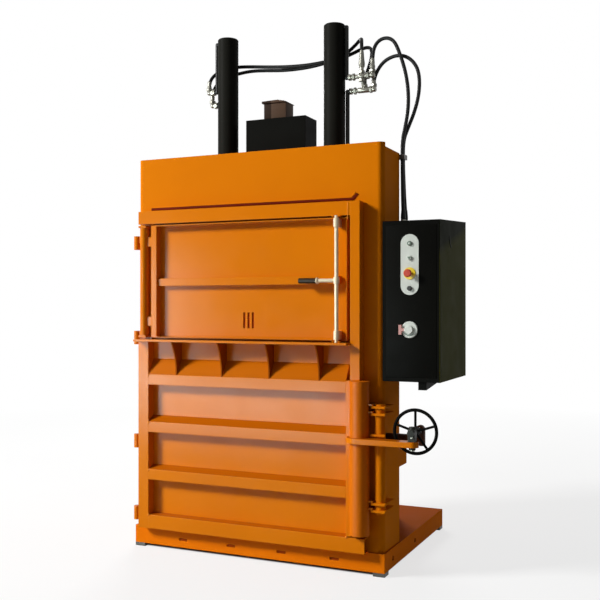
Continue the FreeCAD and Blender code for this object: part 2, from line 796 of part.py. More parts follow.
def make_lock():
    """The lock tube at the door's free end, its arm, the catch rod on the body and their plates."""
    inner = S.tube_radius - S.tube_wall
    cap = S.post_bottom - S.tube_wall
    tube = [(inner, S.tube_bottom), (S.tube_radius, S.tube_bottom), (S.tube_radius, S.post_bottom),
            (ZERO, S.post_bottom), (ZERO, cap), (inner, cap)]
    keep("lock_tube", turned("lock_tube", tube, DOOR_RIGHT, TUBE_Y, ZERO))

    arm = new_body("lock_arm")
    low, high = S.arm_level, S.arm_level + S.arm_thickness
    half_tail = S.arm_tail_width / 2
    pad(arm, "Z", [((DOOR_RIGHT, TUBE_Y), S.arm_collar_radius)], low, high)
    pad(arm, "Z", [rectangle(DOOR_RIGHT, SCREW_X, ARM_Y - half_tail, ARM_Y + half_tail)], low, high)
    pad(arm, "Z", [((SCREW_X, ARM_Y), half_tail)], low, high)
    reach = S.arm_collar_radius
    behind = rectangle(DOOR_RIGHT - reach, DOOR_RIGHT + reach, DOOR_FACE, DOOR_FACE + reach)
    pocket(arm, "Z", [behind], low, high)
    pocket(arm, "Z", [((DOOR_RIGHT, TUBE_Y), S.tube_radius + S.seat_gap)], low, high)
    pocket(arm, "Z", [((SCREW_X, ARM_Y), S.trunnion_radius + S.seat_gap)], low, high)
    keep("lock_arm", arm)

    rod_x = BODY_SIDE - S.catch_rod_inset
    rod_y = FRONT - S.catch_rod_reach
    catch_bar = rod("catch_rod", S.catch_rod_radius, S.catch_rod_top - S.catch_rod_bottom,
                    rod_x, rod_y, S.catch_rod_bottom)
    keep("catch_rod", catch_bar)

    cheek = S.catch_rod_radius + S.prong_plate
    wrap = BODY_SIDE + S.catch_wrap
    front_edge = rod_y - cheek
    nose = [(rod_x - cheek, FRONT), (rod_x - cheek, front_edge), (rod_x + cheek, front_edge)]
    corner_lug = nose + [(wrap, FRONT + S.catch_return), (BODY_SIDE, FRONT + S.catch_return),
                         (BODY_SIDE, FRONT)]
    face_lug = nose + [(BODY_SIDE, FRONT)]
    paired = (S.upper_catch_level, S.upper_catch_level + S.catch_plate_pitch,
              S.lower_catch_level, S.lower_catch_level + S.catch_plate_pitch)
    lugs = []
    for number, level in enumerate(paired + (S.middle_catch_level,)):
        outline = corner_lug if level in paired else face_lug
        lug = new_body(f"catch_lug_{number}")
        pad(lug, "Z", [outline], level, level + S.catch_plate)
        pocket(lug, "Z", [((rod_x, rod_y), S.catch_rod_radius + S.seat_gap)],
               level, level + S.catch_plate)
        lugs.append(lug)
    keep("catch_lugs", group("catch_lugs", lugs))

    prongs = []
    tip = rod_x - S.catch_rod_radius - S.prong_gap
    for number, level in enumerate(paired):
        low = level + S.catch_plate + S.prong_gap
        prong = new_body(f"door_prong_{number}")
        claw = rectangle(DOOR_RIGHT + S.tube_radius / 2, tip, rod_y - cheek, rod_y + S.catch_rod_radius)
        pad(prong, "Z", [claw], low, low + S.prong_plate)
        pocket(prong, "Z", [((DOOR_RIGHT, TUBE_Y), S.tube_radius + S.seat_gap)],
               low, low + S.prong_plate)
        prongs.append(prong)
    keep("door_prongs", group("door_prongs", prongs))


def make_clamp_screw():
    """Swivel block on the arm, the spindle through it, the handwheel and the nut on the body."""
    half = S.block_side / 2
    arm_top = S.arm_level + S.arm_thickness
    block_top = S.spindle_level + S.block_top_cover
    head = new_body("swivel_head")
    pad(head, "Z", [rectangle(SCREW_X - half, SCREW_X + half, ARM_Y - half, ARM_Y + half)],
        arm_top, block_top)
    pad(head, "Z", [((SCREW_X, ARM_Y), S.trunnion_nut_radius)], block_top,
        block_top + S.trunnion_nut_height)
    pocket(head, "Y", [((SCREW_X, S.spindle_level), S.spindle_radius + S.running_clearance)],
           ARM_Y - half, ARM_Y + half)
    stem = [(ZERO, -S.trunnion_nut_height - S.arm_thickness),
            (S.trunnion_nut_radius, -S.trunnion_nut_height - S.arm_thickness),
            (S.trunnion_nut_radius, -S.arm_thickness), (S.trunnion_radius, -S.arm_thickness),
            (S.trunnion_radius, ZERO), (ZERO, ZERO)]
    trunnion = turned("trunnion", stem, SCREW_X, ARM_Y, arm_top)
    keep("swivel_block", fuse("swivel_block", [head, trunnion]))

    gap = S.seat_gap
    start = ARM_Y - half - gap - S.spindle_head_length
    after_block = S.spindle_head_length + S.block_side + gap * 2
    after_collar = after_block + S.spindle_head_length
    length = FRONT + S.nut_setback + S.thread_entry - start
    chamfer = S.spindle_radius / 4
    profile = [(ZERO, ZERO), (S.spindle_head_radius, ZERO),
               (S.spindle_head_radius, S.spindle_head_length),
               (S.spindle_radius, S.spindle_head_length), (S.spindle_radius, after_block),
               (S.spindle_head_radius, after_block), (S.spindle_head_radius, after_collar),
               (S.spindle_radius, after_collar), (S.spindle_radius, length - chamfer),
               (S.spindle_radius - chamfer, length), (ZERO, length)]
    keep("clamp_spindle", turned("clamp_spindle", profile, SCREW_X, start, S.spindle_level, (0, 1, 0)))

    wheel = new_body("handwheel")
    rim_centre = S.wheel_radius - S.rim_radius
    rim_sketch = new_sketch(wheel, "Y", ZERO)
    draw_circle(rim_sketch, (rim_centre, ZERO), S.rim_radius)
    rim = wheel.newObject("PartDesign::Revolution", "handwheel_rim")
    rim.Profile = rim_sketch
    rim.ReferenceAxis = (rim_sketch, ["V_Axis"])
    rim.Angle = 360
    spoke = pad(wheel, "Y", [((ZERO, ZERO), S.spoke_radius)], -rim_centre, -S.hub_radius / 2)
    spokes = wheel.newObject("PartDesign::PolarPattern", "handwheel_spokes")
    spokes.Originals = [spoke]
    turn_axis = next(a for a in wheel.Origin.OriginFeatures if a.Role == "Z_Axis")
    spokes.Axis = (turn_axis, [""])
    spokes.Angle = 360
    spokes.Occurrences = 5
    wheel.Tip = spokes
    pad(wheel, "Z", [((ZERO, ZERO), S.hub_radius)], -S.hub_length / 2, S.hub_length / 2)
    pocket(wheel, "Z", [((ZERO, ZERO), S.spindle_radius + gap)], -S.hub_length / 2,
           S.hub_length / 2)
    place(wheel, SCREW_X, FRONT - S.wheel_reach, S.spindle_level, (0, 1, 0))
    keep("handwheel", wheel)

    nut = new_body("nut_bracket")
    low = S.nut_level - S.nut_height / 2
    high = S.nut_level + S.nut_height / 2
    eye = S.nut_eye_radius
    screw = (SCREW_X, S.spindle_level)
    outline = [(BODY_SIDE, low), (SCREW_X + eye, low), (SCREW_X + eye, S.spindle_level),
               (SCREW_X - eye, S.spindle_level), (SCREW_X - eye, high), (BODY_SIDE, high)]
    front = FRONT + S.nut_setback
    back = front + S.nut_thickness
    pad(nut, "Y", [outline], front, back)
    pad(nut, "Y", [(screw, eye)], front, back)
    pocket(nut, "Y", [(screw, S.spindle_radius + S.thread_clearance)], front, back)
    keep("nut_bracket", nut)


def make_feed_door():
    """The feed door: a folded pan with vents, hung on a tube, shut by a turning bar."""
    pan = new_body("feed_door_pan")
    back = PAN_FACE + S.pan_sheet
    pad(pan, "Y", [rectangle(FEED_LEFT, FEED_RIGHT, FEED_BOTTOM, FEED_TOP)], PAN_FRONT, back)
    pocket(pan, "Y", [rectangle(FEED_LEFT + S.pan_lip, FEED_RIGHT - S.pan_sheet,
                                FEED_BOTTOM + S.pan_sheet, FEED_TOP - S.pan_sheet)],
           PAN_FRONT, PAN_FACE)
    vents = []
    for number in (-1, 0, 1):
        middle = S.vent_pitch * number - S.vent_shift
        vents.append(rectangle(middle - S.vent_width / 2, middle + S.vent_width / 2,
                               FEED_BOTTOM + S.vent_rise,
                               FEED_BOTTOM + S.vent_rise + S.vent_height))
    pocket(pan, "Y", vents, PAN_FACE, back)
    keep("feed_door_pan", pan)
    keep("feed_door_rib", block("feed_door_rib", FEED_LEFT + S.pan_lip, BAR_X,
                                PAN_FACE - S.pan_rib_depth, PAN_FACE, PAN_RIB_LOW,
                                PAN_RIB_LOW + S.pan_rib_height))
    make_feed_hinge()
    make_lock_bar()


def make_feed_hinge():
    radius = S.feed_tube_radius
    bracket = S.feed_bracket_sheet
    low = FEED_BOTTOM + bracket + S.seat_gap
    high = FEED_TOP - bracket - S.seat_gap
    bore = S.feed_pin_radius + S.running_clearance
    tube = [(bore, low), (radius, low), (radius, high), (bore, high)]
    pieces = [turned("feed_tube", tube, FEED_AXIS_X, FEED_AXIS_Y, ZERO)]
    strap_start = FEED_AXIS_X + radius - S.pan_sheet
    for name, level in (("low", low + S.feed_strap_height),
                        ("high", high - S.feed_strap_height * 2)):
        pieces.append(block(f"feed_strap_{name}", strap_start, FEED_LEFT,
                            FEED_AXIS_Y - S.pan_sheet, FEED_AXIS_Y + S.pan_sheet,
                            level, level + S.feed_strap_height))
    keep("feed_hinge_tube", fuse("feed_hinge_tube", pieces))
    brackets = []
    stile_face = PANEL_FACE - S.upper_stile_depth
    for name, plate_low, pin_low in (("low", FEED_BOTTOM, FEED_BOTTOM),
                                     ("high", FEED_TOP - bracket, high - S.feed_pin_length)):
        arm = block(f"feed_bracket_{name}", FEED_AXIS_X - radius, FEED_AXIS_X + radius,
                    FEED_AXIS_Y - radius, stile_face, plate_low, plate_low + bracket)
        pin = rod(f"feed_pin_{name}", S.feed_pin_radius, S.feed_pin_length + bracket,
                  FEED_AXIS_X, FEED_AXIS_Y, pin_low)
        brackets.append(fuse(f"feed_hinge_bracket_{name}", [arm, pin]))
    keep("feed_hinge_brackets", group("feed_hinge_brackets", brackets))


def make_lock_bar():
    """An upright bar that turns in two bearings on the feed door, with a lever and its grip."""
    gap = S.seat_gap
    low = S.shelf_top + gap * 2
    high = RAIL_BOTTOM - gap * 2
    shaft = rod("lock_bar_shaft", S.bar_radius, high - low, BAR_X, BAR_Y, low)
    lever_end = S.lever_length - S.grip_end
    lever = rod("lock_bar_lever", S.lever_radius, lever_end, BAR_X, BAR_Y, LEVER_LEVEL, (-1, 0, 0))
    boss = rod("lock_bar_boss", S.bearing_radius, S.bearing_radius * 2, BAR_X, BAR_Y,
               LEVER_LEVEL - S.bearing_radius)
    keep("lock_bar", fuse("lock_bar", [shaft, lever, boss]))
    bore = S.lever_radius + gap
    grip_start = S.lever_length - S.grip_length
    inner_end = lever_end + gap
    grip = [(bore, grip_start), (S.grip_radius, grip_start), (S.grip_radius, S.lever_length),
            (ZERO, S.lever_length), (ZERO, inner_end), (bore, inner_end)]
    keep("lever_grip", turned("lever_grip", grip, BAR_X, BAR_Y, LEVER_LEVEL, (-1, 0, 0)))

    bearings = []
    bore = S.bar_radius + S.running_clearance
    margin = S.pan_sheet + gap
    for name, level in (("low", FEED_BOTTOM + margin),
                        ("high", FEED_TOP - margin - S.bearing_length)):
        ring = [(bore, ZERO), (S.bearing_radius, ZERO), (S.bearing_radius, S.bearing_length),
                (bore, S.bearing_length)]
        sleeve = turned(f"bar_bearing_{name}", ring, BAR_X, BAR_Y, level)
        foot = block(f"bar_bearing_foot_{name}", BAR_X - S.bar_radius / 2, BAR_X + S.bar_radius / 2,
                     BAR_Y + S.bar_radius + S.pan_front_gap, PAN_FACE, level,
                     level + S.bearing_length)
        bearings.append(fuse(f"bar_bearing_block_{name}", [sleeve, foot]))
    keep("bar_bearings", group("bar_bearings", bearings))

    keepers = []
    slot = S.bar_radius + S.prong_gap
    reach = S.bearing_radius + S.pan_sheet
    for name, low in (("low", S.shelf_top), ("high", RAIL_BOTTOM - S.keeper_height)):
        keeper = new_body(f"bar_keeper_{name}")
        high = low + S.keeper_height
        back = DOOR_FACE if name == "low" else DOOR_FACE + S.bearing_radius
        pad(keeper, "Z", [rectangle(BAR_X - reach, BAR_X + reach, BAR_Y - S.bar_radius, back)],
            low, high)
        mouth = rectangle(BAR_X - slot, BAR_X + slot, BAR_Y - S.bar_radius, BAR_Y)
        pocket(keeper, "Z", [mouth], low, high)
        pocket(keeper, "Z", [((BAR_X, BAR_Y), slot)], low, high)
        keepers.append(keeper)
    keep("bar_keepers", group("bar_keepers", keepers))


def cabinet_side(inset):
    """The side view of the power cabinet, whose top rises to the back, drawn in by an inset."""
    back = CABINET_FRONT + S.cabinet_depth
    return [(CABINET_FRONT + inset, S.cabinet_bottom + inset), (back - inset, S.cabinet_bottom + inset),
            (back - inset, S.cabinet_back_top - inset), (CABINET_FRONT + inset,
                                                         S.cabinet_front_top - inset)]


def make_cabinet():
    """The power cabinet on the right, its side cover and stiffener, and the oil unit inside."""
    wall = S.cabinet_sheet
    right = BODY_SIDE + S.cabinet_width
    body = new_body("power_cabinet")
    pad(body, "X", [cabinet_side(ZERO)], BODY_SIDE, right - wall)
    pocket(body, "X", [cabinet_side(wall)], BODY_SIDE + wall, right - wall)
    holes = []
    gap = S.button_gap
    for level in (S.start_button_level, S.return_button_level, S.key_switch_level,
                  S.stop_button_level):
        holes.append(((CONTROLS_X, level), S.button_radius + gap))
    holes.append(((CONTROLS_X, S.switch_level), S.button_radius + gap))
    pocket(body, "Y", holes, CABINET_FRONT, CABINET_FRONT + wall)
    glands = [((x, y), S.gland_radius + S.seat_gap) for x, y in gland_places()]
    pocket(body, "Z", glands, S.cabinet_front_top - wall, S.cabinet_back_top)
    keep("power_cabinet", body)
    cover = plate("cabinet_side_cover", "X", [cabinet_side(ZERO)], right - wall, right)
    keep("cabinet_side_cover", cover)

    rail_x = BODY_SIDE + S.support_rail_offset
    top = S.cabinet_bottom
    low = top - S.support_rail_height
    half_rail = S.support_rail_width / 2
    rail_back = FRONT + S.support_rail_length
    wedge = [(FRONT, low), (rail_back, top - S.support_rail_tip), (rail_back, top), (FRONT, top)]
    keep("cabinet_rail", plate("cabinet_rail", "X", [wedge], rail_x - half_rail, rail_x + half_rail))

    tank_low = S.cabinet_bottom + wall
    tank_front = CABINET_FRONT + S.tank_setback
    tank = block("oil_tank", BODY_SIDE + S.tank_inset, right - S.tank_inset, tank_front,
                 tank_front + S.tank_depth, tank_low, tank_low + S.tank_height)
    keep("oil_tank", tank)
    motor = rod("pump_motor", S.motor_radius, S.motor_height, BODY_SIDE + S.cabinet_width / 2,
                CABINET_FRONT + S.motor_setback, tank_low + S.tank_height)
    keep("pump_motor", motor)
    glands = []
    for number, (x, y) in enumerate(gland_places()):
        low = S.cabinet_front_top - wall
        glands.append(rod(f"hose_gland_{number}", S.gland_radius, S.gland_top - low, x, y, low))
    keep("hose_glands", group("hose_glands", glands))


def gland_places():
    """Where the two supply hoses enter the top of the cabinet."""
    x = BODY_SIDE + S.gland_inset
    y = FRONT + S.flange_depth + S.gland_setback
    return ((x, y), (x, y + S.gland_pitch))


def make_controls():
    """Button plate, buttons and switches on the front of the cabinet."""
    gap = S.button_gap
    half = S.plate_width / 2
    straight = (S.plate_height - S.plate_width) / 2
    plate_body = new_body("button_plate")
    low, high = S.plate_level - straight, S.plate_level + straight
    pad(plate_body, "Y", [rectangle(CONTROLS_X - half, CONTROLS_X + half, low, high)],
        PLATE_FACE, CABINET_FRONT)
    for level in (low, high):
        pad(plate_body, "Y", [((CONTROLS_X, level), half)], PLATE_FACE, CABINET_FRONT)
    levels = (S.start_button_level, S.return_button_level, S.stop_button_level,
              S.key_switch_level)
    pocket(plate_body, "Y", [((CONTROLS_X, level), S.button_radius + gap) for level in levels],
           PLATE_FACE, CABINET_FRONT)
    keep("button_plate", plate_body)

    inward = S.plate_sheet + S.cabinet_sheet
    out = (0, -1, 0)
    stem = S.button_radius
    edge = S.button_round
    push = [(ZERO, -inward), (stem, -inward), (stem, S.button_reach - edge),
            (stem - edge, S.button_reach), (ZERO, S.button_reach)]
    for name, level in (("start_button", S.start_button_level),
                        ("return_button", S.return_button_level)):
        keep(name, turned(name, push, CONTROLS_X, PLATE_FACE, level, out))

    collar = [(stem + gap, ZERO), (S.stop_collar_radius, ZERO),
              (S.stop_collar_radius, S.stop_collar_height), (stem + gap, S.stop_collar_height)]
    keep("emergency_stop_collar", turned("emergency_stop_collar", collar, CONTROLS_X, PLATE_FACE,
                                         S.stop_button_level, out))
    head_low = S.stop_collar_height + S.button_travel + S.stop_head_gap
    head_high = head_low + S.stop_head_height
    head = S.stop_button_radius
    bevel = S.stop_head_round
    mushroom = [(ZERO, -inward), (stem, -inward), (stem, head_low), (head - bevel, head_low),
                (head, head_low + bevel), (head, head_high - bevel), (head - bevel, head_high),
                (ZERO, head_high)]
    keep("emergency_stop_button", turned("emergency_stop_button", mushroom, CONTROLS_X, PLATE_FACE,
                                         S.stop_button_level, out))
    key = [(ZERO, -inward), (stem, -inward), (stem, S.button_reach), (stem - edge, S.button_reach + edge),
           (ZERO, S.button_reach + edge)]
    keep("key_switch", turned("key_switch", key, CONTROLS_X, PLATE_FACE, S.key_switch_level, out))

    rim = S.switch_reach / 4
    housing = [(stem + gap, ZERO), (S.switch_radius, ZERO), (S.switch_radius, S.switch_reach - rim),
               (S.switch_radius - rim, S.switch_reach), (stem + gap, S.switch_reach)]
    keep("main_switch_housing", turned("main_switch_housing", housing, CONTROLS_X, CABINET_FRONT,
                                       S.switch_level, out))
    knob_low = S.switch_reach + gap
    knob = [(ZERO, -S.cabinet_sheet), (stem, -S.cabinet_sheet), (stem, knob_low),
            (S.knob_radius, knob_low), (S.knob_radius, knob_low + S.knob_reach - edge),
            (S.knob_radius - edge, knob_low + S.knob_reach), (ZERO, knob_low + S.knob_reach)]
    dial = turned("main_switch_dial", knob, CONTROLS_X, CABINET_FRONT, S.switch_level, out)
    handle_end = CONTROLS_X - S.handle_length
    neck = handle_end + S.handle_width
    half_neck = S.handle_width / 2
    half_end = S.handle_end / 2
    tee = [(CONTROLS_X, S.switch_level + half_neck), (neck, S.switch_level + half_neck),
           (neck, S.switch_level + half_end), (handle_end, S.switch_level + half_end),
           (handle_end, S.switch_level - half_end), (neck, S.switch_level - half_end),
           (neck, S.switch_level - half_neck), (CONTROLS_X, S.switch_level - half_neck)]
    handle = plate("main_switch_handle", "Y", [tee], CABINET_FRONT - knob_low - S.knob_reach + edge,
                   CABINET_FRONT - knob_low)
    keep("main_switch_knob", fuse("main_switch_knob", [dial, handle]))


def make_top_cover():
    """The cover that stands on the deck between the cylinders, and the terminal box on it."""
    wall = S.cover_sheet
    front = FRONT + S.cover_setback
    back = front + S.cover_depth
    half = S.cover_width / 2
    body = new_body("top_cover")
    pad(body, "Z", [rectangle(-half, half, front, back)], DECK_TOP, S.cover_top)
    pocket(body, "Z", [rectangle(wall - half, half - wall, front + wall, back - wall)],
           DECK_TOP, S.cover_top - wall)
    keep("top_cover", body)
    left = -S.terminal_width / 2 - S.terminal_shift
    box_front = front + (S.cover_depth - S.terminal_depth) / 2
    top = S.cover_top + S.terminal_height
    case = block("terminal_case", left, left + S.terminal_width, box_front,
                 box_front + S.terminal_depth, S.cover_top, top)
    lid = block("terminal_lid", left - S.terminal_lid, left + S.terminal_width + S.terminal_lid,
                box_front - S.terminal_lid, box_front + S.terminal_depth + S.terminal_lid,
                top, top + S.terminal_lid)
    keep("terminal_box", fuse("terminal_box", [case, lid]))


def run(name, start, end, radius):
    """A round run between two places that differ along one axis only."""
    steps = [as_size(b) - as_size(a) for a, b in zip(start, end)]
    main = max(range(3), key=lambda index: abs(steps[index].value))
    sign = 1 if steps[main].value > 0 else -1
    direction = [0, 0, 0]
    direction[main] = sign
    return rod(name, radius, steps[main] * sign, *start, tuple(direction))


def corner(name, x, y, z, radius):
    ball = doc.addObject("Part::Sphere", f"{name}_ball")
    ball.setExpression("Radius", radius.formula)
    return place(ball, x, y, z)


def make_pipework():
    """Pressure pipes up each barrel and the port fittings that the hoses screw on to."""
    pipe_top = S.cylinder_top - S.upper_pipe_drop
    pipe_low = DECK_TOP + S.flange_thickness + S.lower_pipe_start
    upper = S.cylinder_top - S.upper_port_drop
    lower = S.cylinder_top - S.lower_port_drop
    port_radius = S.pipe_radius + S.pipe_gap - S.seat_gap
    for side, sign in (("left", -1), ("right", 1)):
        barrel_x = (CYLINDER_X + S.barrel_radius + S.seat_gap) * sign
        x_up = UPPER_PIPE_X * sign
        x_low = LOWER_PIPE_X * sign
        y_up = CYLINDER_Y
        y_low = LOWER_PIPE_Y
        if side == "right":
            stands_up = [(x_up + S.elbow_reach, ELBOW_TOP), (x_up + S.tee_reach, TEE_TOP)]
            stands_low = [(x_low + S.lower_elbow_reach, LOWER_ELBOW_TOP),
                          (x_low + S.lower_tee_reach, LOWER_TEE_TOP)]
        else:
            stands_up = [(x_up - S.left_elbow_reach, LEFT_ELBOW_TOP)]
            stands_low = [(x_low - S.left_elbow_reach, LOWER_TEE_TOP)]
        parts = [run(f"{side}_pipe_up", (x_up, y_up, upper), (x_up, y_up, pipe_top), S.pipe_radius),
                 run(f"{side}_stub_up", (x_up, y_up, pipe_top), (barrel_x, y_up, pipe_top),
                     S.pipe_radius),
                 corner(f"{side}_bend_up", x_up, y_up, pipe_top, S.pipe_radius),
                 run(f"{side}_pipe_low", (x_low, y_low, pipe_low), (x_low, y_low, lower),
                     S.pipe_radius),
                 corner(f"{side}_bend_low", x_low, y_low, pipe_low, S.pipe_radius)]
        for key, x_pipe, y, level, stands in (("upper", x_up, y_up, upper, stands_up),
                                              ("lower", x_low, y_low, lower, stands_low)):
            end_x = stands[0][0]
            parts.append(run(f"{side}_{key}_run", (x_pipe, y, level), (end_x, y, level),
                             S.pipe_radius))
            parts.append(corner(f"{side}_{key}_port", x_pipe, y, level, port_radius))
            nut_start = x_pipe + S.fitting_radius * sign
            parts.append(run(f"{side}_{key}_nut", (nut_start, y, level),
                             (nut_start + S.fitting_radius * sign, y, level), S.fitting_nut_radius))
            for index, (x, top) in enumerate(stands):
                parts.append(run(f"{side}_{key}_stand_{index}", (x, y, level), (x, y, top),
                                 S.pipe_radius))
                parts.append(corner(f"{side}_{key}_knee_{index}", x, y, level, S.fitting_radius))
        keep(f"{side}_pipework", fuse(f"{side}_pipework", parts))


# Routes of the four hoses, in millimetres from the front plane of the body (X, Y, Z).
# Each route moves with the two places that the hose joins.
HOSE_ROUTES = {
    "supply_hose_a": [(536, 320, 2552), (536, 320, 2580), (538, 320, 2612), (543, 319, 2646),
                      (560, 318, 2677), (590, 315, 2694), (625, 312, 2693), (655, 308, 2674),
                      (674, 304, 2642), (691, 301, 2600), (710, 297, 2548), (728, 293, 2482),
                      (741, 287, 2402), (743, 280, 2310), (732, 270, 2225), (717, 262, 2150),
                      (717, 262, 2030), (718, 263, 1930), (719, 264, 1840), (721, 264, 1785),
                      (721, 264, 1750)],
    "supply_hose_b": [(533, 348, 2458), (533, 348, 2480), (541, 347, 2512), (558, 345, 2545),
                      (583, 341, 2573), (616, 336, 2592), (660, 330, 2602), (709, 325, 2594),
                      (752, 320, 2564), (783, 316, 2515), (794, 311, 2448), (789, 305, 2370),
                      (769, 298, 2290), (739, 291, 2215), (714, 286, 2150), (714, 286, 2030),
                      (716, 291, 1930), (718, 298, 1840), (721, 302, 1785), (721, 302, 1750)],
    "cross_hose_a": [(476, 320, 2575), (476, 320, 2618), (475, 322, 2670), (469, 338, 2704),
                     (457, 368, 2724), (434, 398, 2725), (404, 418, 2710), (367, 427, 2686),
                     (322, 427, 2661), (245, 413, 2639), (130, 404, 2629), (10, 403, 2633),
                     (-110, 403, 2645), (-206, 403, 2657), (-276, 401, 2664), (-336, 396, 2664),
                     (-386, 384, 2654), (-420, 362, 2632), (-438, 336, 2600), (-443, 320, 2564),
                     (-443, 320, 2530)],
    "cross_hose_b": [(482, 348, 2465), (482, 348, 2490), (491, 349, 2525), (505, 351, 2565),
                     (515, 360, 2607), (513, 377, 2647), (497, 401, 2678), (468, 424, 2692),
                     (431, 441, 2692), (382, 449, 2678), (318, 447, 2657), (235, 436, 2640),
                     (122, 431, 2623), (-18, 430, 2622), (-130, 431, 2634), (-210, 433, 2642),
                     (-280, 434, 2641), (-346, 431, 2631), (-398, 414, 2612), (-424, 390, 2584),
                     (-436, 364, 2550), (-438, 348, 2506), (-438, 348, 2465)],
}
BEND_SHARE = 0.48     # share of the shorter run that a bend may take


def hose_ends(name):
    """The tops of the fittings or glands that the hose runs between."""
    glands = [(x, y, S.gland_top) for x, y in gland_places()]
    return {
        "supply_hose_a": ((UPPER_PIPE_X + S.elbow_reach, CYLINDER_Y, ELBOW_TOP), glands[0]),
        "supply_hose_b": ((LOWER_PIPE_X + S.lower_elbow_reach, LOWER_PIPE_Y, LOWER_ELBOW_TOP),
                          glands[1]),
        "cross_hose_a": ((UPPER_PIPE_X + S.tee_reach, CYLINDER_Y, TEE_TOP),
                         (-UPPER_PIPE_X - S.left_elbow_reach, CYLINDER_Y, LEFT_ELBOW_TOP)),
        "cross_hose_b": ((LOWER_PIPE_X + S.lower_tee_reach, LOWER_PIPE_Y, LOWER_TEE_TOP),
                         (-LOWER_PIPE_X - S.left_elbow_reach, LOWER_PIPE_Y, LOWER_TEE_TOP)),
    }[name]


def hang_index(points):
    """Where a supply hose starts to hang straight down beside the body, if it does."""
    for index in range(2, len(points) - 1):
        step = points[index + 1] - points[index]
        if abs(step.x) + abs(step.y) < 0.01:
            return index
    return len(points) - 1


def hose_points(name):
    """The route's points, moved with its two ends; all that hangs straight down moves with the last."""
    points = [Vector(x, y + FRONT.value, z) for x, y, z in HOSE_ROUTES[name]]
    start, end = (Vector(*(length.value for length in spot)) for spot in hose_ends(name))
    first_shift = start - points[0]
    last_shift = end - points[-1]
    reach = [0.0]
    for before, after in zip(points, points[1:]):
        reach.append(reach[-1] + (after - before).Length)
    hang = reach[hang_index(points)]
    moved = []
    for point, along in zip(points, reach):
        share = min(along / hang, 1.0)
        moved.append(point + first_shift * (1 - share) + last_shift * share)
    return moved


def hose_path(points):
    """Straight runs joined by tangent arcs, each as large as its two runs allow."""
    edges = []
    radii = []
    start = points[0]
    for before, corner_point, after in zip(points, points[1:], points[2:]):
        come = corner_point - before
        leave = after - corner_point
        turn = come.getAngle(leave)
        reach = BEND_SHARE * min(come.Length, leave.Length)
        come.normalize()
        leave.normalize()
        radius = reach / math.tan(turn / 2)
        radii.append(radius)
        begin = corner_point - come * reach
        finish = corner_point + leave * reach
        inward = (leave - come).normalize()
        middle = corner_point + inward * (radius / math.cos(turn / 2) - radius)
        edges.append(Part.LineSegment(start, begin).toShape())
        edges.append(Part.Arc(begin, middle, finish).toShape())
        start = finish
    edges.append(Part.LineSegment(start, points[-1]).toShape())
    return Part.Wire(edges), radii


def make_hoses():
    for name in HOSE_ROUTES:
        points = hose_points(name)
        path, radii = hose_path(points)
        radius = S.hose_radius.value
        ring = Part.Wire(Part.makeCircle(radius, points[0], points[1] - points[0]))
        tube = path.makePipeShell([ring], True, False)
        hose = doc.addObject("Part::Feature", f"{name}_tube")
        hose.Shape = tube
        keep(name, hose)
        expected = math.pi * radius ** 2 * path.Length
        print(name, "length", round(path.Length), "least radius", round(min(radii)),
              "volume ratio", round(tube.Volume / expected, 4))


def make_hose_clip():
    """A block on the edge of the flange that holds both supply hoses."""
    body = new_body("hose_clip")
    low = S.clip_level - S.clip_height / 2
    high = S.clip_level + S.clip_height / 2
    front = FRONT + S.flange_depth
    outline = rectangle(BODY_SIDE - S.frame_sheet, BODY_SIDE + S.clip_reach, front,
                        front + S.clip_depth)
    pad(body, "Z", [outline], low, high)
    bores = []
    for name in ("supply_hose_a", "supply_hose_b"):
        points = hose_points(name)
        spot = points[hang_index(points)]
        bores.append(((as_size(spot.x), as_size(spot.y)), S.hose_radius + S.seat_gap))
    pocket(body, "Z", bores, low, high)
    keep("hose_clip", body)


def check_features():
    """Stop if a feature failed, a cut missed its body, or a piece is not a valid solid."""
    for item in doc.Objects:
        if "Invalid" in item.State or "Error" in item.State:
            raise RuntimeError(f"{item.Name} failed: {item.State}")
        if item.TypeId == "PartDesign::Pocket":
            removed = item.BaseFeature.Shape.Volume - item.Shape.Volume
            if removed < 1:
                raise RuntimeError(f"{item.Name} cuts nothing")
    for name, item in NODES.items():
        if item.Shape.isNull() or not item.Shape.isValid() or not item.Shape.Solids:
            raise RuntimeError(f"{name} is not a valid solid")


make_base()
make_front_frame()
make_chamber()
make_cylinders()
make_platen()
make_door_skin()
make_door_frame()
make_door_hinges()
make_lock()
make_clamp_screw()
make_feed_door()
make_cabinet()
make_controls()
make_top_cover()
make_pipework()
make_hoses()
make_hose_clip()
doc.recompute()
check_features()
os.makedirs("parts", exist_ok=True)
for name, item in NODES.items():
    item.Shape.exportStep(f"parts/{name}.step")
print(len(NODES), "nodes")
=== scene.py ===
"""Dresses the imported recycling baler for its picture.

Every length is in metres, in the row frame: X to the right, Y to the back and Z up.
"""
import json
import math

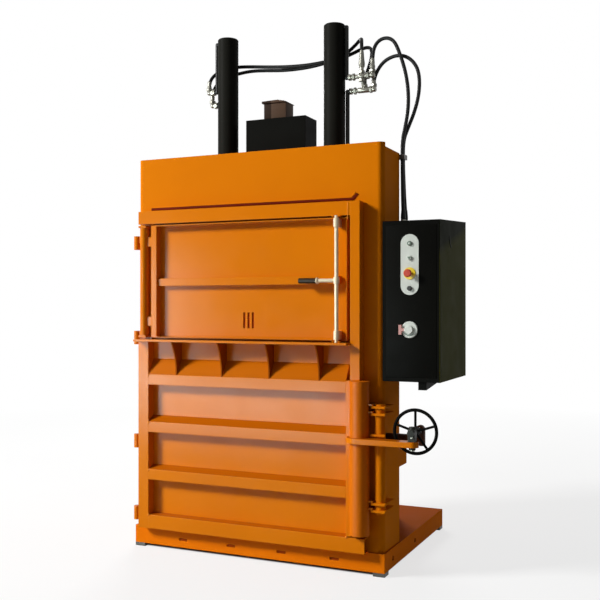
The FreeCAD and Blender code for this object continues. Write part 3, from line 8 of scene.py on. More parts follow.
import bmesh
import bpy
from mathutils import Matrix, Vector


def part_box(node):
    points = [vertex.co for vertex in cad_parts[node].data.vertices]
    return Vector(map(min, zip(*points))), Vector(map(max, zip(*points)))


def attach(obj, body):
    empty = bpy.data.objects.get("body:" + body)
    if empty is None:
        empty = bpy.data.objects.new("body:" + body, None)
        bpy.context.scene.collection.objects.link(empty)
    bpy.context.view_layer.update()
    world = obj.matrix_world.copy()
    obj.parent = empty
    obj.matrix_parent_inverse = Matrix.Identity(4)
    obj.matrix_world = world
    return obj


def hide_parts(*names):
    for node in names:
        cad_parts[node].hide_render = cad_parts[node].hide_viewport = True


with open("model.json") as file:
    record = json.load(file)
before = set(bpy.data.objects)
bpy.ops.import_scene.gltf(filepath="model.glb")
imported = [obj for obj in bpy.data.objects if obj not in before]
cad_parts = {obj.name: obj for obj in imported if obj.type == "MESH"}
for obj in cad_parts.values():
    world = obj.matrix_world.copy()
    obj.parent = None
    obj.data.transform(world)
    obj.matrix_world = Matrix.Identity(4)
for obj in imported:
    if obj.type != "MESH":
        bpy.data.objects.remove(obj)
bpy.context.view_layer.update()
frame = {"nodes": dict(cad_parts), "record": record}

# ---------------------------------------------------------------- camera
CAMERA_PLACE = (2.0923, -4.5650, 1.3072)
CAMERA_TURN = 24.28
CAMERA_LENS = 53.12
CAMERA_SHIFT = 0.0094
SENSOR_WIDTH = 36.0

lens = bpy.data.cameras.new("camera")
lens.sensor_width = SENSOR_WIDTH
lens.lens = CAMERA_LENS
lens.shift_y = CAMERA_SHIFT
camera = bpy.data.objects.new("camera", lens)
camera.location = CAMERA_PLACE
camera.rotation_euler = (math.radians(90.0), 0.0, math.radians(CAMERA_TURN))
bpy.context.scene.collection.objects.link(camera)
bpy.context.scene.camera = camera

# ---------------------------------------------------------------- materials
SLOW_SCALE = 1.6                         # of slow shifts of colour
SMEAR_SCALE = SLOW_SCALE * 6.0           # of smears of gloss
SLOW_SPREAD = (0.32, 0.68)               # the levels between which nearly all of the slow noise lies
NOISE_SPREAD = (0.3, 0.7)
GRAIN_DEPTH = 0.0004
BEVEL_SAMPLES = 4
EDGE_FLAT, EDGE_BENT = 0.97, 0.80        # dot products of a rounded normal and its face's own
# pale edges, partly where the coat is thin and partly a painted highlight
WEAR_AND_HIGHLIGHT_WIDTH, WEAR_AND_HIGHLIGHT_SHARE = 0.003, (0.35, 0.75)
TOP_SHADE_SLOPE, TOP_SHADE_SHARE = (0.3, 0.6), 0.9       # painted shade on faces that look up; the slope is the upward part of a normal


class Finish:
    """A procedural material: a small wrapper that adds nodes and wires them up."""

    def __init__(self, name):
        self.material = bpy.data.materials.new(name)
        self.material.use_nodes = True
        self.tree = self.material.node_tree
        self.shader = self.tree.nodes["Principled BSDF"]
        self.place = self.add("ShaderNodeTexCoord").outputs["Object"]

    def add(self, kind, settings=(), **inputs):
        node = self.tree.nodes.new(kind)
        for key, value in dict(settings).items():
            setattr(node, key, value)
        for key, value in inputs.items():
            self.feed(node, key, value)
        return node

    def feed(self, node, key, value):
        socket = node.inputs[key]
        if isinstance(value, bpy.types.NodeSocket):
            self.tree.links.new(value, socket)
        else:
            socket.default_value = value

    def noise(self, scale, detail=3.0, stretch=(1.0, 1.0, 1.0)):
        place = self.add("ShaderNodeMapping", Vector=self.place, Scale=stretch).outputs["Vector"]
        return self.add("ShaderNodeTexNoise", Vector=place, Scale=scale, Detail=detail).outputs["Fac"]

    def ramp(self, value, low, high, start, end):
        node = self.add("ShaderNodeMapRange", Value=value)
        for key, number in (("From Min", low), ("From Max", high), ("To Min", start), ("To Max", end)):
            node.inputs[key].default_value = number
        return node.outputs["Result"]

    def mix(self, factor, first, second):
        node = self.add("ShaderNodeMix", {"data_type": "RGBA"})
        self.feed(node, 0, factor)
        self.feed(node, 6, first)
        self.feed(node, 7, second)
        return node.outputs[2]

    def relief(self, height, strength, edge):
        node = self.add("ShaderNodeBump", Height=height, Strength=strength, Distance=GRAIN_DEPTH)
        if edge:
            rounded = self.add("ShaderNodeBevel", {"samples": BEVEL_SAMPLES}, Radius=edge)
            self.tree.links.new(rounded.outputs["Normal"], node.inputs["Normal"])
        return node.outputs["Normal"]

    def math(self, operation, first, second=0.0):
        node = self.add("ShaderNodeMath", {"operation": operation})
        self.feed(node, 0, first)
        self.feed(node, 1, second)
        return node.outputs[0]

    def along(self, letter):
        """One coordinate of the surface, in metres in the row frame."""
        return self.add("ShaderNodeSeparateXYZ", Vector=self.place).outputs[letter]

    def dot(self, first, second):
        node = self.add("ShaderNodeVectorMath", {"operation": "DOT_PRODUCT"})
        self.feed(node, 0, first)
        self.feed(node, 1, second)
        return node.outputs["Value"]

    def normal(self, kind="Normal"):
        return self.add("ShaderNodeNewGeometry").outputs[kind]

    def edge_band(self, radius):
        """1 along outer and inner edges, and 0 on open faces."""
        bent = self.add("ShaderNodeBevel", {"samples": BEVEL_SAMPLES}, Radius=radius).outputs["Normal"]
        flat = self.normal("True Normal")
        return self.ramp(self.dot(bent, flat), EDGE_FLAT, EDGE_BENT, 0.0, 1.0)


def linear(red, green, blue):
    """A colour that is read off as 0 to 255, as a shader wants it."""
    def one(level):
        level = level / 255.0
        return level / 12.92 if level <= 0.04045 else ((level + 0.055) / 1.055) ** 2.4
    return (one(red), one(green), one(blue), 1.0)


def coating(name, light, dark, rough, grain=260.0, bump=0.12, edge=0.002, metal=0.0, gloss=0.5,
            stretch=(1.0, 1.0, 1.0), bend=1.5, rubbed=None, shade=None, ledge=None):
    """Paint, plate or plastic: slow shifts of colour, a fine grain and softly rounded edges.

    light and dark are the two colours it shifts between, rough its least and most roughness, and
    bend its index of refraction. rubbed is the colour of edges, partly where the coat is thin and
    partly a painted highlight, and ledge is painted shade on faces that look up. shade is
    (direction, start, end, colour): past start along that direction the coat turns to the colour,
    and has done so at end; on the cabinet cover and the terminal box this is painted shade, on the
    main switch the dial's own pale grey.
    """
    finish = Finish(name)
    slow = finish.noise(SLOW_SCALE, 4.0)
    fine = finish.noise(grain, 2.0, stretch)
    colour = finish.mix(finish.ramp(slow, *SLOW_SPREAD, 0.0, 1.0), linear(*dark), linear(*light))
    if shade:
        direction, start, end, deep = shade
        drift = finish.math("MULTIPLY", finish.math("SUBTRACT", slow, 0.5), abs(end - start))
        place = finish.math("ADD", finish.dot(finish.place, direction), drift)
        colour = finish.mix(finish.ramp(place, start, end, 0.0, 1.0), colour, linear(*deep))
    # faces that look up are painted in shade
    if ledge:
        upward = finish.add("ShaderNodeSeparateXYZ", Vector=finish.normal()).outputs["Z"]
        colour = finish.mix(finish.ramp(upward, *TOP_SHADE_SLOPE, 0.0, TOP_SHADE_SHARE), colour, linear(*ledge))
    # edges turn paler: partly a thin coat, partly a painted highlight
    if rubbed:
        edges = finish.math("MULTIPLY", finish.edge_band(WEAR_AND_HIGHLIGHT_WIDTH),
                            finish.ramp(slow, *NOISE_SPREAD, *WEAR_AND_HIGHLIGHT_SHARE))
        colour = finish.mix(edges, colour, linear(*rubbed))
    finish.feed(finish.shader, "Base Color", colour)
    smear = finish.noise(SMEAR_SCALE, 5.0, stretch)
    finish.feed(finish.shader, "Roughness", finish.ramp(smear, *NOISE_SPREAD, *rough))
    finish.feed(finish.shader, "Normal", finish.relief(fine, bump, edge))
    finish.shader.inputs["Metallic"].default_value = metal
    finish.shader.inputs["Specular IOR Level"].default_value = gloss
    finish.shader.inputs["IOR"].default_value = bend
    return finish.material


ZINC_LIGHT, ZINC_DARK = (158, 156, 145), (116, 115, 106)
PIPE_BLACK_LIGHT, PIPE_BLACK_DARK = (27, 26, 23), (20, 20, 18)
PIPE_ROUGH, PIPE_METAL, PIPE_BEND = (0.3, 0.42), 0.55, 1.25
PIPE_JOIN, JOIN_WIDTH = 0.4035, 0.001


def piping(name, join):
    """Black paint beside the barrels, and bare zinc beyond join, a distance from the middle."""
    finish = Finish(name)
    fine = finish.noise(300.0, 3.0)
    beyond = finish.ramp(finish.math("ABSOLUTE", finish.along("X")), join, join + JOIN_WIDTH, 0.0, 1.0)
    bare = finish.mix(fine, linear(*ZINC_DARK), linear(*ZINC_LIGHT))
    painted = finish.mix(fine, linear(*PIPE_BLACK_DARK), linear(*PIPE_BLACK_LIGHT))
    finish.feed(finish.shader, "Base Color", finish.mix(beyond, painted, bare))
    finish.feed(finish.shader, "Metallic", finish.ramp(beyond, 0.0, 1.0, 0.0, PIPE_METAL))
    finish.feed(finish.shader, "Roughness", finish.ramp(fine, *NOISE_SPREAD, *PIPE_ROUGH))
    finish.feed(finish.shader, "Normal", finish.relief(fine, 0.12, 0.0015))
    finish.shader.inputs["IOR"].default_value = PIPE_BEND
    return finish.material


def orange(name, light, dark, rough, bump=0.12, edge=0.004, bend=1.05, **more):
    """The machine's paint in one of its finishes; some are lighter or darker copies that paint in light
    and shade. A low bend keeps the pale room off it.
    """
    return coating(name, light, dark, rough, grain=420.0, bump=bump, edge=edge, bend=bend, **more)


def black(name, light, dark, rough=(0.36, 0.48), bend=1.06, **more):
    return coating(name, light, dark, rough, grain=380.0, bump=0.10, edge=0.003, bend=bend, **more)


def plastic(name, light, dark, rough, bump=0.05, **more):
    return coating(name, light, dark, rough, grain=500.0, bump=bump, edge=0.001, **more)


PAINT_LIGHT, PAINT_DARK = (221, 123, 3), (214, 117, 2)
PALE_GREY = (214, 219, 210)
BRUSHED = (1.0, 1.0, 0.2)                # grain drawn out along Z
TOP_SHADE_WAY, TOP_SHADE_LEVELS = (0.0, -0.3, 1.0), (1.690, 1.735)    # painted shade on the side cover's top, past a tilted line
DIAL_WAY, DIAL_EDGE = (1.0, 0.0, 0.0), (0.8165, 0.8185)      # from the red handle to the pale dial
LEFT_WAY, BOX_CORNER = (-1.0, 0.0, 0.0), (0.036, 0.040)      # the terminal box's left end, in shade

# the doors' paint: tops in painted shade, edges partly thin coat and partly painted highlight
ORANGE = orange("orange_powder_coat", PAINT_LIGHT, PAINT_DARK, (0.17, 0.24), bump=0.07, bend=1.12,
                rubbed=(236, 150, 52), ledge=(172, 86, 6))
MATT_ORANGE = orange("orange_frame_coat", PAINT_LIGHT, PAINT_DARK, (0.5, 0.6), rubbed=(232, 144, 44))
# a brighter copy of the paint for the base: painted light on its shaded front
BASE_ORANGE = orange("orange_base_painted_lit", (240, 124, 4), (232, 117, 3), (0.5, 0.6),
                     rubbed=(244, 150, 48), ledge=(176, 84, 6))
# a darker, redder copy of the paint for the lock tube: painted shade
TUBE_ORANGE = orange("orange_tube_painted_shade", (216, 112, 4), (206, 104, 3), (0.36, 0.46), bump=0.10,
                     bend=1.14, rubbed=(232, 148, 60))
# a paler copy of the paint: a painted highlight on the post's seam bead and the weld dots
HIGHLIGHT_ORANGE = orange("orange_painted_highlight", (238, 150, 50), (230, 138, 34), (0.3, 0.4), bump=0.2,
                     edge=0.001, bend=1.12)
# a darker copy of the paint: painted shade inside the strap slots and the vents
SHADED_ORANGE = orange("orange_painted_shade_in_slots", (196, 88, 16), (172, 70, 10), (0.5, 0.6), edge=0.002)
# the gussets in a darker copy of the paint: painted shade
GUSSET_SHADE_ORANGE = orange("orange_painted_shade_on_gussets", (168, 84, 5), (146, 70, 4), (0.5, 0.6), edge=0.003)
# the nut bracket in a near-black copy of the paint: painted shade
BRACKET_SHADE_ORANGE = orange("orange_painted_shade_on_bracket", (72, 34, 9), (50, 24, 8), (0.4, 0.5), edge=0.003,
                       bend=1.1)
# a dark brown strip that paints the shadow in the gap above the door's top rail
GAP_SHADOW = coating("brown_painted_gap_shadow", (112, 34, 4), (96, 26, 3), (0.6, 0.7), grain=600.0, bump=0.2,
               edge=0.001, bend=1.1)
BLACK = black("satin_black_paint", (18, 18, 15), (13, 13, 11), rubbed=(30, 30, 27))
BARREL_BLACK = black("barrel_black_paint", (34, 34, 30), (27, 27, 24), rubbed=(44, 44, 40))
GRIP = coating("brown_black_grip", (50, 36, 18), (36, 26, 13), (0.34, 0.44), grain=700.0, bump=0.15,
               edge=0.0015, bend=1.2)
# the side cover, with painted shade over its top
OLIVE = black("olive_black_paint", (50, 51, 9), (43, 44, 7), (0.46, 0.56), bend=1.05,
              shade=(TOP_SHADE_WAY, *TOP_SHADE_LEVELS, (10, 13, 2)))
DARK_STEEL = coating("blackened_steel", (62, 58, 54), (44, 41, 38), (0.38, 0.52), grain=240.0,
                     bump=0.15, metal=0.6)
# a dark steel for the swivel block and clamp spindle, darker than the bright steel slot
DARK_CLAMP_STEEL = coating("dark_clamp_steel", (36, 36, 31), (20, 22, 17), (0.34, 0.48), grain=240.0, bump=0.15,
                      metal=0.2, bend=1.2, rubbed=(110, 110, 102))
ZINC = coating("zinc_plate", ZINC_LIGHT, ZINC_DARK, (0.26, 0.38), grain=320.0, edge=0.0015, metal=0.4,
               bend=1.3)
BAR_STEEL = coating("polished_bar", (238, 224, 194), (216, 200, 168), (0.3, 0.4), grain=300.0,
                    bump=0.05, edge=0.001, metal=0.1, bend=1.12, stretch=BRUSHED)
CHROME = coating("hard_chrome", (212, 214, 216), (196, 198, 200), (0.07, 0.14), grain=300.0, bump=0.03,
                 edge=0.001, metal=1.0, stretch=BRUSHED)
RUBBER = coating("hose_rubber", (20, 20, 19), (13, 13, 13), (0.42, 0.56), grain=900.0, bump=0.25,
                 edge=0.0, bend=1.2)
BLACK_PLASTIC = coating("black_moulding", (24, 22, 21), (16, 15, 14), (0.34, 0.44), grain=700.0,
                        bump=0.15, edge=0.0015, gloss=0.3)
WHITE_PLASTIC = plastic("pale_plate", PALE_GREY, (205, 211, 202), (0.34, 0.44), bump=0.08, gloss=0.3)
GREEN_PLASTIC = plastic("grey_green_cap", (118, 136, 122), (104, 122, 108), (0.26, 0.34), gloss=0.3)
RED_PLASTIC = plastic("red_cap", (206, 60, 12), (190, 44, 8), (0.2, 0.3))
DIAL_PLASTIC = plastic("dial_and_red_handle", (206, 150, 142), (196, 136, 128), (0.3, 0.4), gloss=0.3,
                       shade=(DIAL_WAY, *DIAL_EDGE, PALE_GREY))
YELLOW_PLASTIC = plastic("yellow_ring", (244, 220, 54), (234, 204, 38), (0.3, 0.4))
BROWN_PLASTIC = coating("brown_bakelite", (88, 68, 54), (76, 58, 45), (0.4, 0.5), grain=420.0, bump=0.1,
                        edge=0.0015, bend=1.1, shade=(LEFT_WAY, *BOX_CORNER, (42, 26, 14)))
PIPING = piping("painted_and_bare_pipe", PIPE_JOIN)

SLOT_FINISHES = {
    "orange_paint": ORANGE,
    "black_paint": BLACK,
    "dark_steel": DARK_STEEL,
    "bright_steel": ZINC,
    "chrome_bar": CHROME,
    "hose_rubber": RUBBER,
    "black_plastic": BLACK_PLASTIC,
    "white_plastic": WHITE_PLASTIC,
    "green_plastic": GREEN_PLASTIC,
    "red_plastic": RED_PLASTIC,
    "yellow_plastic": YELLOW_PLASTIC,
    "brown_plastic": BROWN_PLASTIC,
}
OWN_FINISHES = {
    "base_frame": BASE_ORANGE,
    "lock_tube": TUBE_ORANGE,
    "front_frame": MATT_ORANGE,
    "chamber_shell": MATT_ORANGE,
    "chamber_belts": MATT_ORANGE,
    "top_deck": MATT_ORANGE,
    "catch_rod": MATT_ORANGE,
    "catch_lugs": MATT_ORANGE,
    "nut_bracket": BRACKET_SHADE_ORANGE,
    "door_gussets": GUSSET_SHADE_ORANGE,
    "left_cylinder": BARREL_BLACK,
    "right_cylinder": BARREL_BLACK,
    "cabinet_side_cover": OLIVE,
    "left_pipework": PIPING,
    "right_pipework": PIPING,
    "lever_grip": GRIP,
    "lock_bar": BAR_STEEL,
    "bar_bearings": BAR_STEEL,
    "swivel_block": DARK_CLAMP_STEEL,
    "clamp_spindle": DARK_CLAMP_STEEL,
    "main_switch_knob": DIAL_PLASTIC,
}

for row in frame["record"]["subparts"]:
    node = frame["nodes"][row["node"]]
    node.data.materials.clear()
    node.data.materials.append(OWN_FINISHES.get(row["node"], SLOT_FINISHES[row["material_slot"]]))

# ---------------------------------------------------------------- making pieces
SHARP_ANGLE = math.radians(38.0)
ROUND, HEX = 24, 6                       # sides of a turned form
BEVEL_STEPS, BEVEL_PROFILE = 2, 0.6
ALONG_X, FORWARD, UP = (1.0, 0.0, 0.0), (0.0, -1.0, 0.0), (0.0, 0.0, 1.0)
SUNK = 0.001                             # how far a small piece is let into what carries it


def piece(name, mesh, finish, body):
    item = bpy.data.objects.new(name, mesh)
    bpy.context.scene.collection.objects.link(item)
    item.data.materials.append(finish)
    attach(item, body)
    return item


def mesh_from(name, form):
    bmesh.ops.recalc_face_normals(form, faces=form.faces)
    mesh = bpy.data.meshes.new(name)
    form.to_mesh(mesh)
    form.free()
    for face in mesh.polygons:
        face.use_smooth = True
    mesh.set_sharp_from_angle(angle=SHARP_ANGLE)
    return mesh


def turned(form, start, end, profile, sides=ROUND):
    """Adds a body of revolution: profile rows are (distance from start towards end, radius)."""
    start = Vector(start)
    axis = (Vector(end) - start).normalized()
    side = axis.orthogonal().normalized()
    other = axis.cross(side)
    rings = []
    for along, radius in profile:
        ring = []
        for step in range(sides):
            angle = 2.0 * math.pi * step / sides
            out = side * math.cos(angle) + other * math.sin(angle)
            ring.append(form.verts.new(start + axis * along + out * radius))
        rings.append(ring)
    for first, second in zip(rings, rings[1:]):
        for step in range(sides):
            after = (step + 1) % sides
            form.faces.new((first[step], first[after], second[after], second[step]))
    form.faces.new(rings[0])
    form.faces.new(rings[-1])


def stud(form, spot, direction, profile, sides=ROUND):
    """Adds a body of revolution that starts at spot and points in a direction."""
    turned(form, spot, Vector(spot) + Vector(direction), profile, sides)


def prism(form, axis, outline, low, high, soft=0.0):
    """Adds a plate from low to high along axis, with edges bevelled by soft.

    outline rows are its two other coordinates.
    """
    place = {
        "X": lambda first, second, level: (level, first, second),
        "Y": lambda first, second, level: (first, level, second),
        "Z": lambda first, second, level: (first, second, level),
    }[axis]
    ends = [[form.verts.new(place(*spot, level)) for spot in outline] for level in (low, high)]
    faces = [form.faces.new(end) for end in ends]
    for step in range(len(outline)):
        after = (step + 1) % len(outline)
        faces.append(form.faces.new((ends[0][step], ends[0][after], ends[1][after], ends[1][step])))
    if soft:
        bmesh.ops.recalc_face_normals(form, faces=faces)
        edges = list(dict.fromkeys(edge for face in faces for edge in face.edges))
        bmesh.ops.bevel(form, geom=edges, offset=soft, segments=BEVEL_STEPS, profile=BEVEL_PROFILE,
                        affect="EDGES")


def box_outline(left, right, low, high):
    return ((left, low), (right, low), (right, high), (left, high))


def dress(name, form, finish, body):
    """A rigid piece that is made in a form, rides on a body and takes the finish it is given."""
    item = piece(name, mesh_from(name, form), finish, body)
    return item


# ---------------------------------------------------------------- hoses
HOSE_ROUTES = {
    "supply_hose_a": (
        (0.536, -0.194, 2.552), (0.536, -0.194, 2.580), (0.538, -0.194, 2.612), (0.543, -0.195, 2.646),
        (0.560, -0.196, 2.677), (0.590, -0.199, 2.694), (0.625, -0.202, 2.693), (0.655, -0.206, 2.674),
        (0.674, -0.210, 2.642), (0.691, -0.213, 2.600), (0.710, -0.217, 2.548), (0.728, -0.221, 2.482),
        (0.741, -0.227, 2.402), (0.743, -0.234, 2.310), (0.732, -0.244, 2.225), (0.717, -0.252, 2.150),
        (0.717, -0.252, 2.030), (0.718, -0.251, 1.930), (0.719, -0.250, 1.840), (0.721, -0.250, 1.785),
        (0.721, -0.250, 1.750)),
    "supply_hose_b": (
        (0.533, -0.166, 2.458), (0.533, -0.166, 2.480), (0.541, -0.167, 2.512), (0.558, -0.169, 2.545),
        (0.583, -0.173, 2.573), (0.616, -0.178, 2.592), (0.660, -0.184, 2.602), (0.709, -0.189, 2.594),
        (0.752, -0.194, 2.564), (0.783, -0.198, 2.515), (0.794, -0.203, 2.448), (0.789, -0.209, 2.370),
        (0.769, -0.216, 2.290), (0.739, -0.223, 2.215), (0.714, -0.228, 2.150), (0.714, -0.228, 2.030),
        (0.716, -0.223, 1.930), (0.718, -0.216, 1.840), (0.721, -0.212, 1.785), (0.721, -0.212, 1.750)),
    "cross_hose_a": (
        (0.476, -0.194, 2.575), (0.476, -0.194, 2.618), (0.475, -0.192, 2.670), (0.469, -0.176, 2.704),
        (0.457, -0.146, 2.724), (0.434, -0.116, 2.725), (0.404, -0.096, 2.710), (0.367, -0.087, 2.686),
        (0.322, -0.087, 2.661), (0.245, -0.101, 2.639), (0.130, -0.110, 2.629), (0.010, -0.111, 2.633),
        (-0.110, -0.111, 2.645), (-0.206, -0.111, 2.657), (-0.276, -0.113, 2.664), (-0.336, -0.118, 2.664),
        (-0.386, -0.130, 2.654), (-0.420, -0.152, 2.632), (-0.438, -0.178, 2.600), (-0.443, -0.194, 2.564),
        (-0.443, -0.194, 2.530)),
    "cross_hose_b": (
        (0.482, -0.166, 2.465), (0.482, -0.166, 2.490), (0.491, -0.165, 2.525), (0.505, -0.163, 2.565),
        (0.515, -0.154, 2.607), (0.513, -0.137, 2.647), (0.497, -0.113, 2.678), (0.468, -0.090, 2.692),
        (0.431, -0.073, 2.692), (0.382, -0.065, 2.678), (0.318, -0.067, 2.657), (0.235, -0.078, 2.640),
        (0.122, -0.083, 2.623), (-0.018, -0.084, 2.622), (-0.130, -0.083, 2.634), (-0.210, -0.081, 2.642),
        (-0.280, -0.080, 2.641), (-0.346, -0.083, 2.631), (-0.398, -0.100, 2.612), (-0.424, -0.124, 2.584),
        (-0.436, -0.150, 2.550), (-0.438, -0.166, 2.506), (-0.438, -0.166, 2.465)),
}
HOSE_DIAMETER = 0.019
CURVE_STEPS, RING_STEPS = 12, 5
SHORT_SLEEVE = ((-0.012, 0.0125), (-0.006, 0.0128), (0.0, 0.0140), (0.008, 0.0140), (0.010, 0.0124),
                (0.030, 0.0120), (0.044, 0.0108), (0.048, 0.0097))
LONG_SLEEVE = ((-0.016, 0.0150), (-0.004, 0.0172), (0.010, 0.0165), (0.024, 0.0142), (0.040, 0.0130),
               (0.058, 0.0118), (0.072, 0.0098))
BOOT = ((-0.008, 0.0118), (0.004, 0.0130), (0.016, 0.0124), (0.034, 0.0108), (0.046, 0.0097))
SLEEVES = {
    "supply_hose_a": (SHORT_SLEEVE, BOOT),
    "supply_hose_b": (SHORT_SLEEVE, BOOT),
    "cross_hose_a": (LONG_SLEEVE, SHORT_SLEEVE),
    "cross_hose_b": (SHORT_SLEEVE, SHORT_SLEEVE),
}

for name, route in HOSE_ROUTES.items():
    curve = bpy.data.curves.new(name + "_line", "CURVE")
    curve.dimensions = "3D"
    curve.resolution_u = CURVE_STEPS
    curve.bevel_depth = HOSE_DIAMETER / 2.0
    curve.bevel_resolution = RING_STEPS
    curve.use_fill_caps = True
    spline = curve.splines.new("NURBS")
    spline.points.add(len(route) - 1)
    for point, spot in zip(spline.points, route):
        point.co = (*spot, 1.0)
    spline.order_u = 3
    spline.use_endpoint_u = True
    hose = piece(name + "_skin", curve, RUBBER, "machine_frame")
    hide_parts(name)
    near_sleeve, far_sleeve = SLEEVES[name]
    form = bmesh.new()
    turned(form, route[0], route[1], near_sleeve)
    if far_sleeve is not BOOT:
        turned(form, route[-1], route[-2], far_sleeve)
    on_hose = [dress(name + "_ferrules", form, ZINC, "machine_frame")]
    if far_sleeve is BOOT:
        form = bmesh.new()
        turned(form, route[-1], route[-2], far_sleeve)
        on_hose.append(dress(name + "_boot", form, RUBBER, "machine_frame"))

# ---------------------------------------------------------------- port fittings
UPPER_RUN = (-0.194, 2.512)
LOWER_RUN = (-0.166, 2.445)
RUN_FITTINGS = (                         # a run's Y and Z, its nuts' X, and each body's two ends
    (*UPPER_RUN, (0.4325, 0.5120, -0.4215), ((0.458, 0.494), (0.525, 0.548))),
    (*LOWER_RUN, (0.4295, 0.5180, -0.4165), ((0.446, 0.512), (0.524, 0.545))),
)
UPRIGHT_NUTS = (
    (0.476, UPPER_RUN[0], 2.5335), (0.536, UPPER_RUN[0], 2.5335), (0.476, UPPER_RUN[0], 2.4915),
    (-0.443, UPPER_RUN[0], 2.5310), (-0.438, LOWER_RUN[0], 2.4660), (0.482, LOWER_RUN[0], 2.4660),
    (0.533, LOWER_RUN[0], 2.4650),
)
NUT_RADIUS, NUT_LENGTH = 0.0185, 0.015
NUT_CHAMFER, NUT_END_SHARE = 0.0016, 0.88
BODY_RADIUS, BODY_END_RADIUS, BODY_CHAMFER = 0.0150, 0.0130, 0.003
LINK_TOP = (0.476, UPPER_RUN[0], 2.500)
LINK_FOOT = (0.481, LOWER_RUN[0] - 0.002, 2.449)
LINK_RADIUS, LINK_SIDES = 0.0085, 16


def hex_nut(form, place, direction, radius=NUT_RADIUS, length=NUT_LENGTH):
    """A nut with its corners turned down at both ends, centred on place."""
    start = Vector(place) - Vector(direction) * length / 2.0
    low = radius * NUT_END_SHARE
    stud(form, start, direction,
         ((0.0, low), (NUT_CHAMFER, radius), (length - NUT_CHAMFER, radius), (length, low)), HEX)


form = bmesh.new()
for y, z, nuts, bodies in RUN_FITTINGS:
    for x in nuts:
        hex_nut(form, (x, y, z), ALONG_X)
    for start, end in bodies:
        length = end - start
        stud(form, (start, y, z), ALONG_X,
             ((0.0, BODY_END_RADIUS), (BODY_CHAMFER, BODY_RADIUS),
              (length - BODY_CHAMFER, BODY_RADIUS), (length, BODY_END_RADIUS)))
for spot in UPRIGHT_NUTS:
    hex_nut(form, spot, UP)
link_length = (Vector(LINK_FOOT) - Vector(LINK_TOP)).length
turned(form, LINK_TOP, LINK_FOOT, ((0.0, LINK_RADIUS), (link_length, LINK_RADIUS)), LINK_SIDES)
dress("port_nuts", form, ZINC, "machine_frame")

# ---------------------------------------------------------------- bolts and welds of the body
FLANGE_TOP = 2.007
FLANGE_BOLTS, BOLT_CIRCLE = 8, 0.0755
CYLINDER_X, CYLINDER_Y = 0.322, -0.194
WASHER = ((0.0, 0.0115), (0.0030, 0.0115), (0.0034, 0.0105))
WASHER_SIDES = 20
BOLT_HEAD = ((0.0, 0.0098), (0.0098, 0.0098), (0.0112, 0.0086))
form = bmesh.new()
for middle in (-CYLINDER_X, CYLINDER_X):
    for number in range(FLANGE_BOLTS):
        angle = 2.0 * math.pi * (number + 0.5) / FLANGE_BOLTS
        spot = (middle + BOLT_CIRCLE * math.cos(angle), CYLINDER_Y + BOLT_CIRCLE * math.sin(angle),
                FLANGE_TOP - SUNK)
        stud(form, spot, UP, WASHER, WASHER_SIDES)
        stud(form, spot, UP, BOLT_HEAD, HEX)
dress("flange_bolts", form, BLACK, "machine_frame")

WELD_RADIUS, WELD_WAIST, WELD_RIPPLE, WELD_SIDES = 0.0048, 0.78, 0.013, 8
SHELL_X, SHELL_START, SHELL_BACK = 0.553, -0.264, 0.200
BELT_LEVELS, BELT_HEIGHT = (0.420, 0.980, 1.540), 0.090
BASE_TOP, DECK_UNDER = 0.112, 1.960


def weld(form, start, end):
    """A rippled bead, half sunk in the corner that it runs along."""
    length = (Vector(end) - Vector(start)).length
    steps = 2 * max(2, round(length / WELD_RIPPLE))
    turned(form, start, end, [(length * step / steps, WELD_RADIUS * (1.0 if step % 2 else WELD_WAIST))
                              for step in range(steps + 1)], WELD_SIDES)


levels = [low + rise for low in BELT_LEVELS for rise in (0.0, BELT_HEIGHT)] + [BASE_TOP, DECK_UNDER]
form = bmesh.new()
for level in levels:
    for side in (-SHELL_X, SHELL_X):
        weld(form, (side, SHELL_START, level), (side, SHELL_BACK, level))
    weld(form, (-SHELL_X, SHELL_BACK, level), (SHELL_X, SHELL_BACK, level))
dress("body_welds", form, MATT_ORANGE, "machine_frame")

# ---------------------------------------------------------------- painted gap shadow, slots, vents and welds
HEADER_FACE = -0.514
# the dark strip is a painted shadow of the gap between the header and the door; the lip over it is orange
STRIP_PROUD = 0.0035
STRIP_LEFT = -0.618
GAP_SHADOW_LINE = ((STRIP_LEFT, 1.823), (0.553, 1.823), (0.578, 1.851), (0.570, 1.857), (0.544, 1.834),
             (STRIP_LEFT, 1.834))
LIP_LINE = ((STRIP_LEFT, 1.835), (0.543, 1.835), (0.566, 1.859), (0.562, 1.863), (0.539, 1.840),
            (STRIP_LEFT, 1.840))
for name, outline, finish in (("header_gap_shadow", GAP_SHADOW_LINE, GAP_SHADOW), ("header_lip", LIP_LINE, MATT_ORANGE)):
    form = bmesh.new()
    prism(form, "Y", outline, HEADER_FACE - STRIP_PROUD, HEADER_FACE + SUNK, soft=0.001)
    dress(name, form, finish, "machine_frame")

SLOT_COUNT, SLOT_PITCH, SLOT_SHIFT, SLOT_LEVEL = 4, 0.289, 0.020, 0.061
BACK_HALF_WIDTH, BACK_HALF_HEIGHT = 0.035, 0.017
BASE_INSIDE = -0.516
BACK_PROUD, BACK_SUNK = 0.0005, 0.004
# sheets behind the strap slots, in painted shade
form = bmesh.new()
for number in range(SLOT_COUNT):
    x = SLOT_PITCH * (number - (SLOT_COUNT - 1) / 2.0) + SLOT_SHIFT
    outline = box_outline(x - BACK_HALF_WIDTH, x + BACK_HALF_WIDTH, SLOT_LEVEL - BACK_HALF_HEIGHT,
                          SLOT_LEVEL + BACK_HALF_HEIGHT)
    prism(form, "Y", outline, BASE_INSIDE - BACK_PROUD, BASE_INSIDE + BACK_SUNK, soft=0.001)
dress("strap_slot_backs", form, SHADED_ORANGE, "machine_frame")

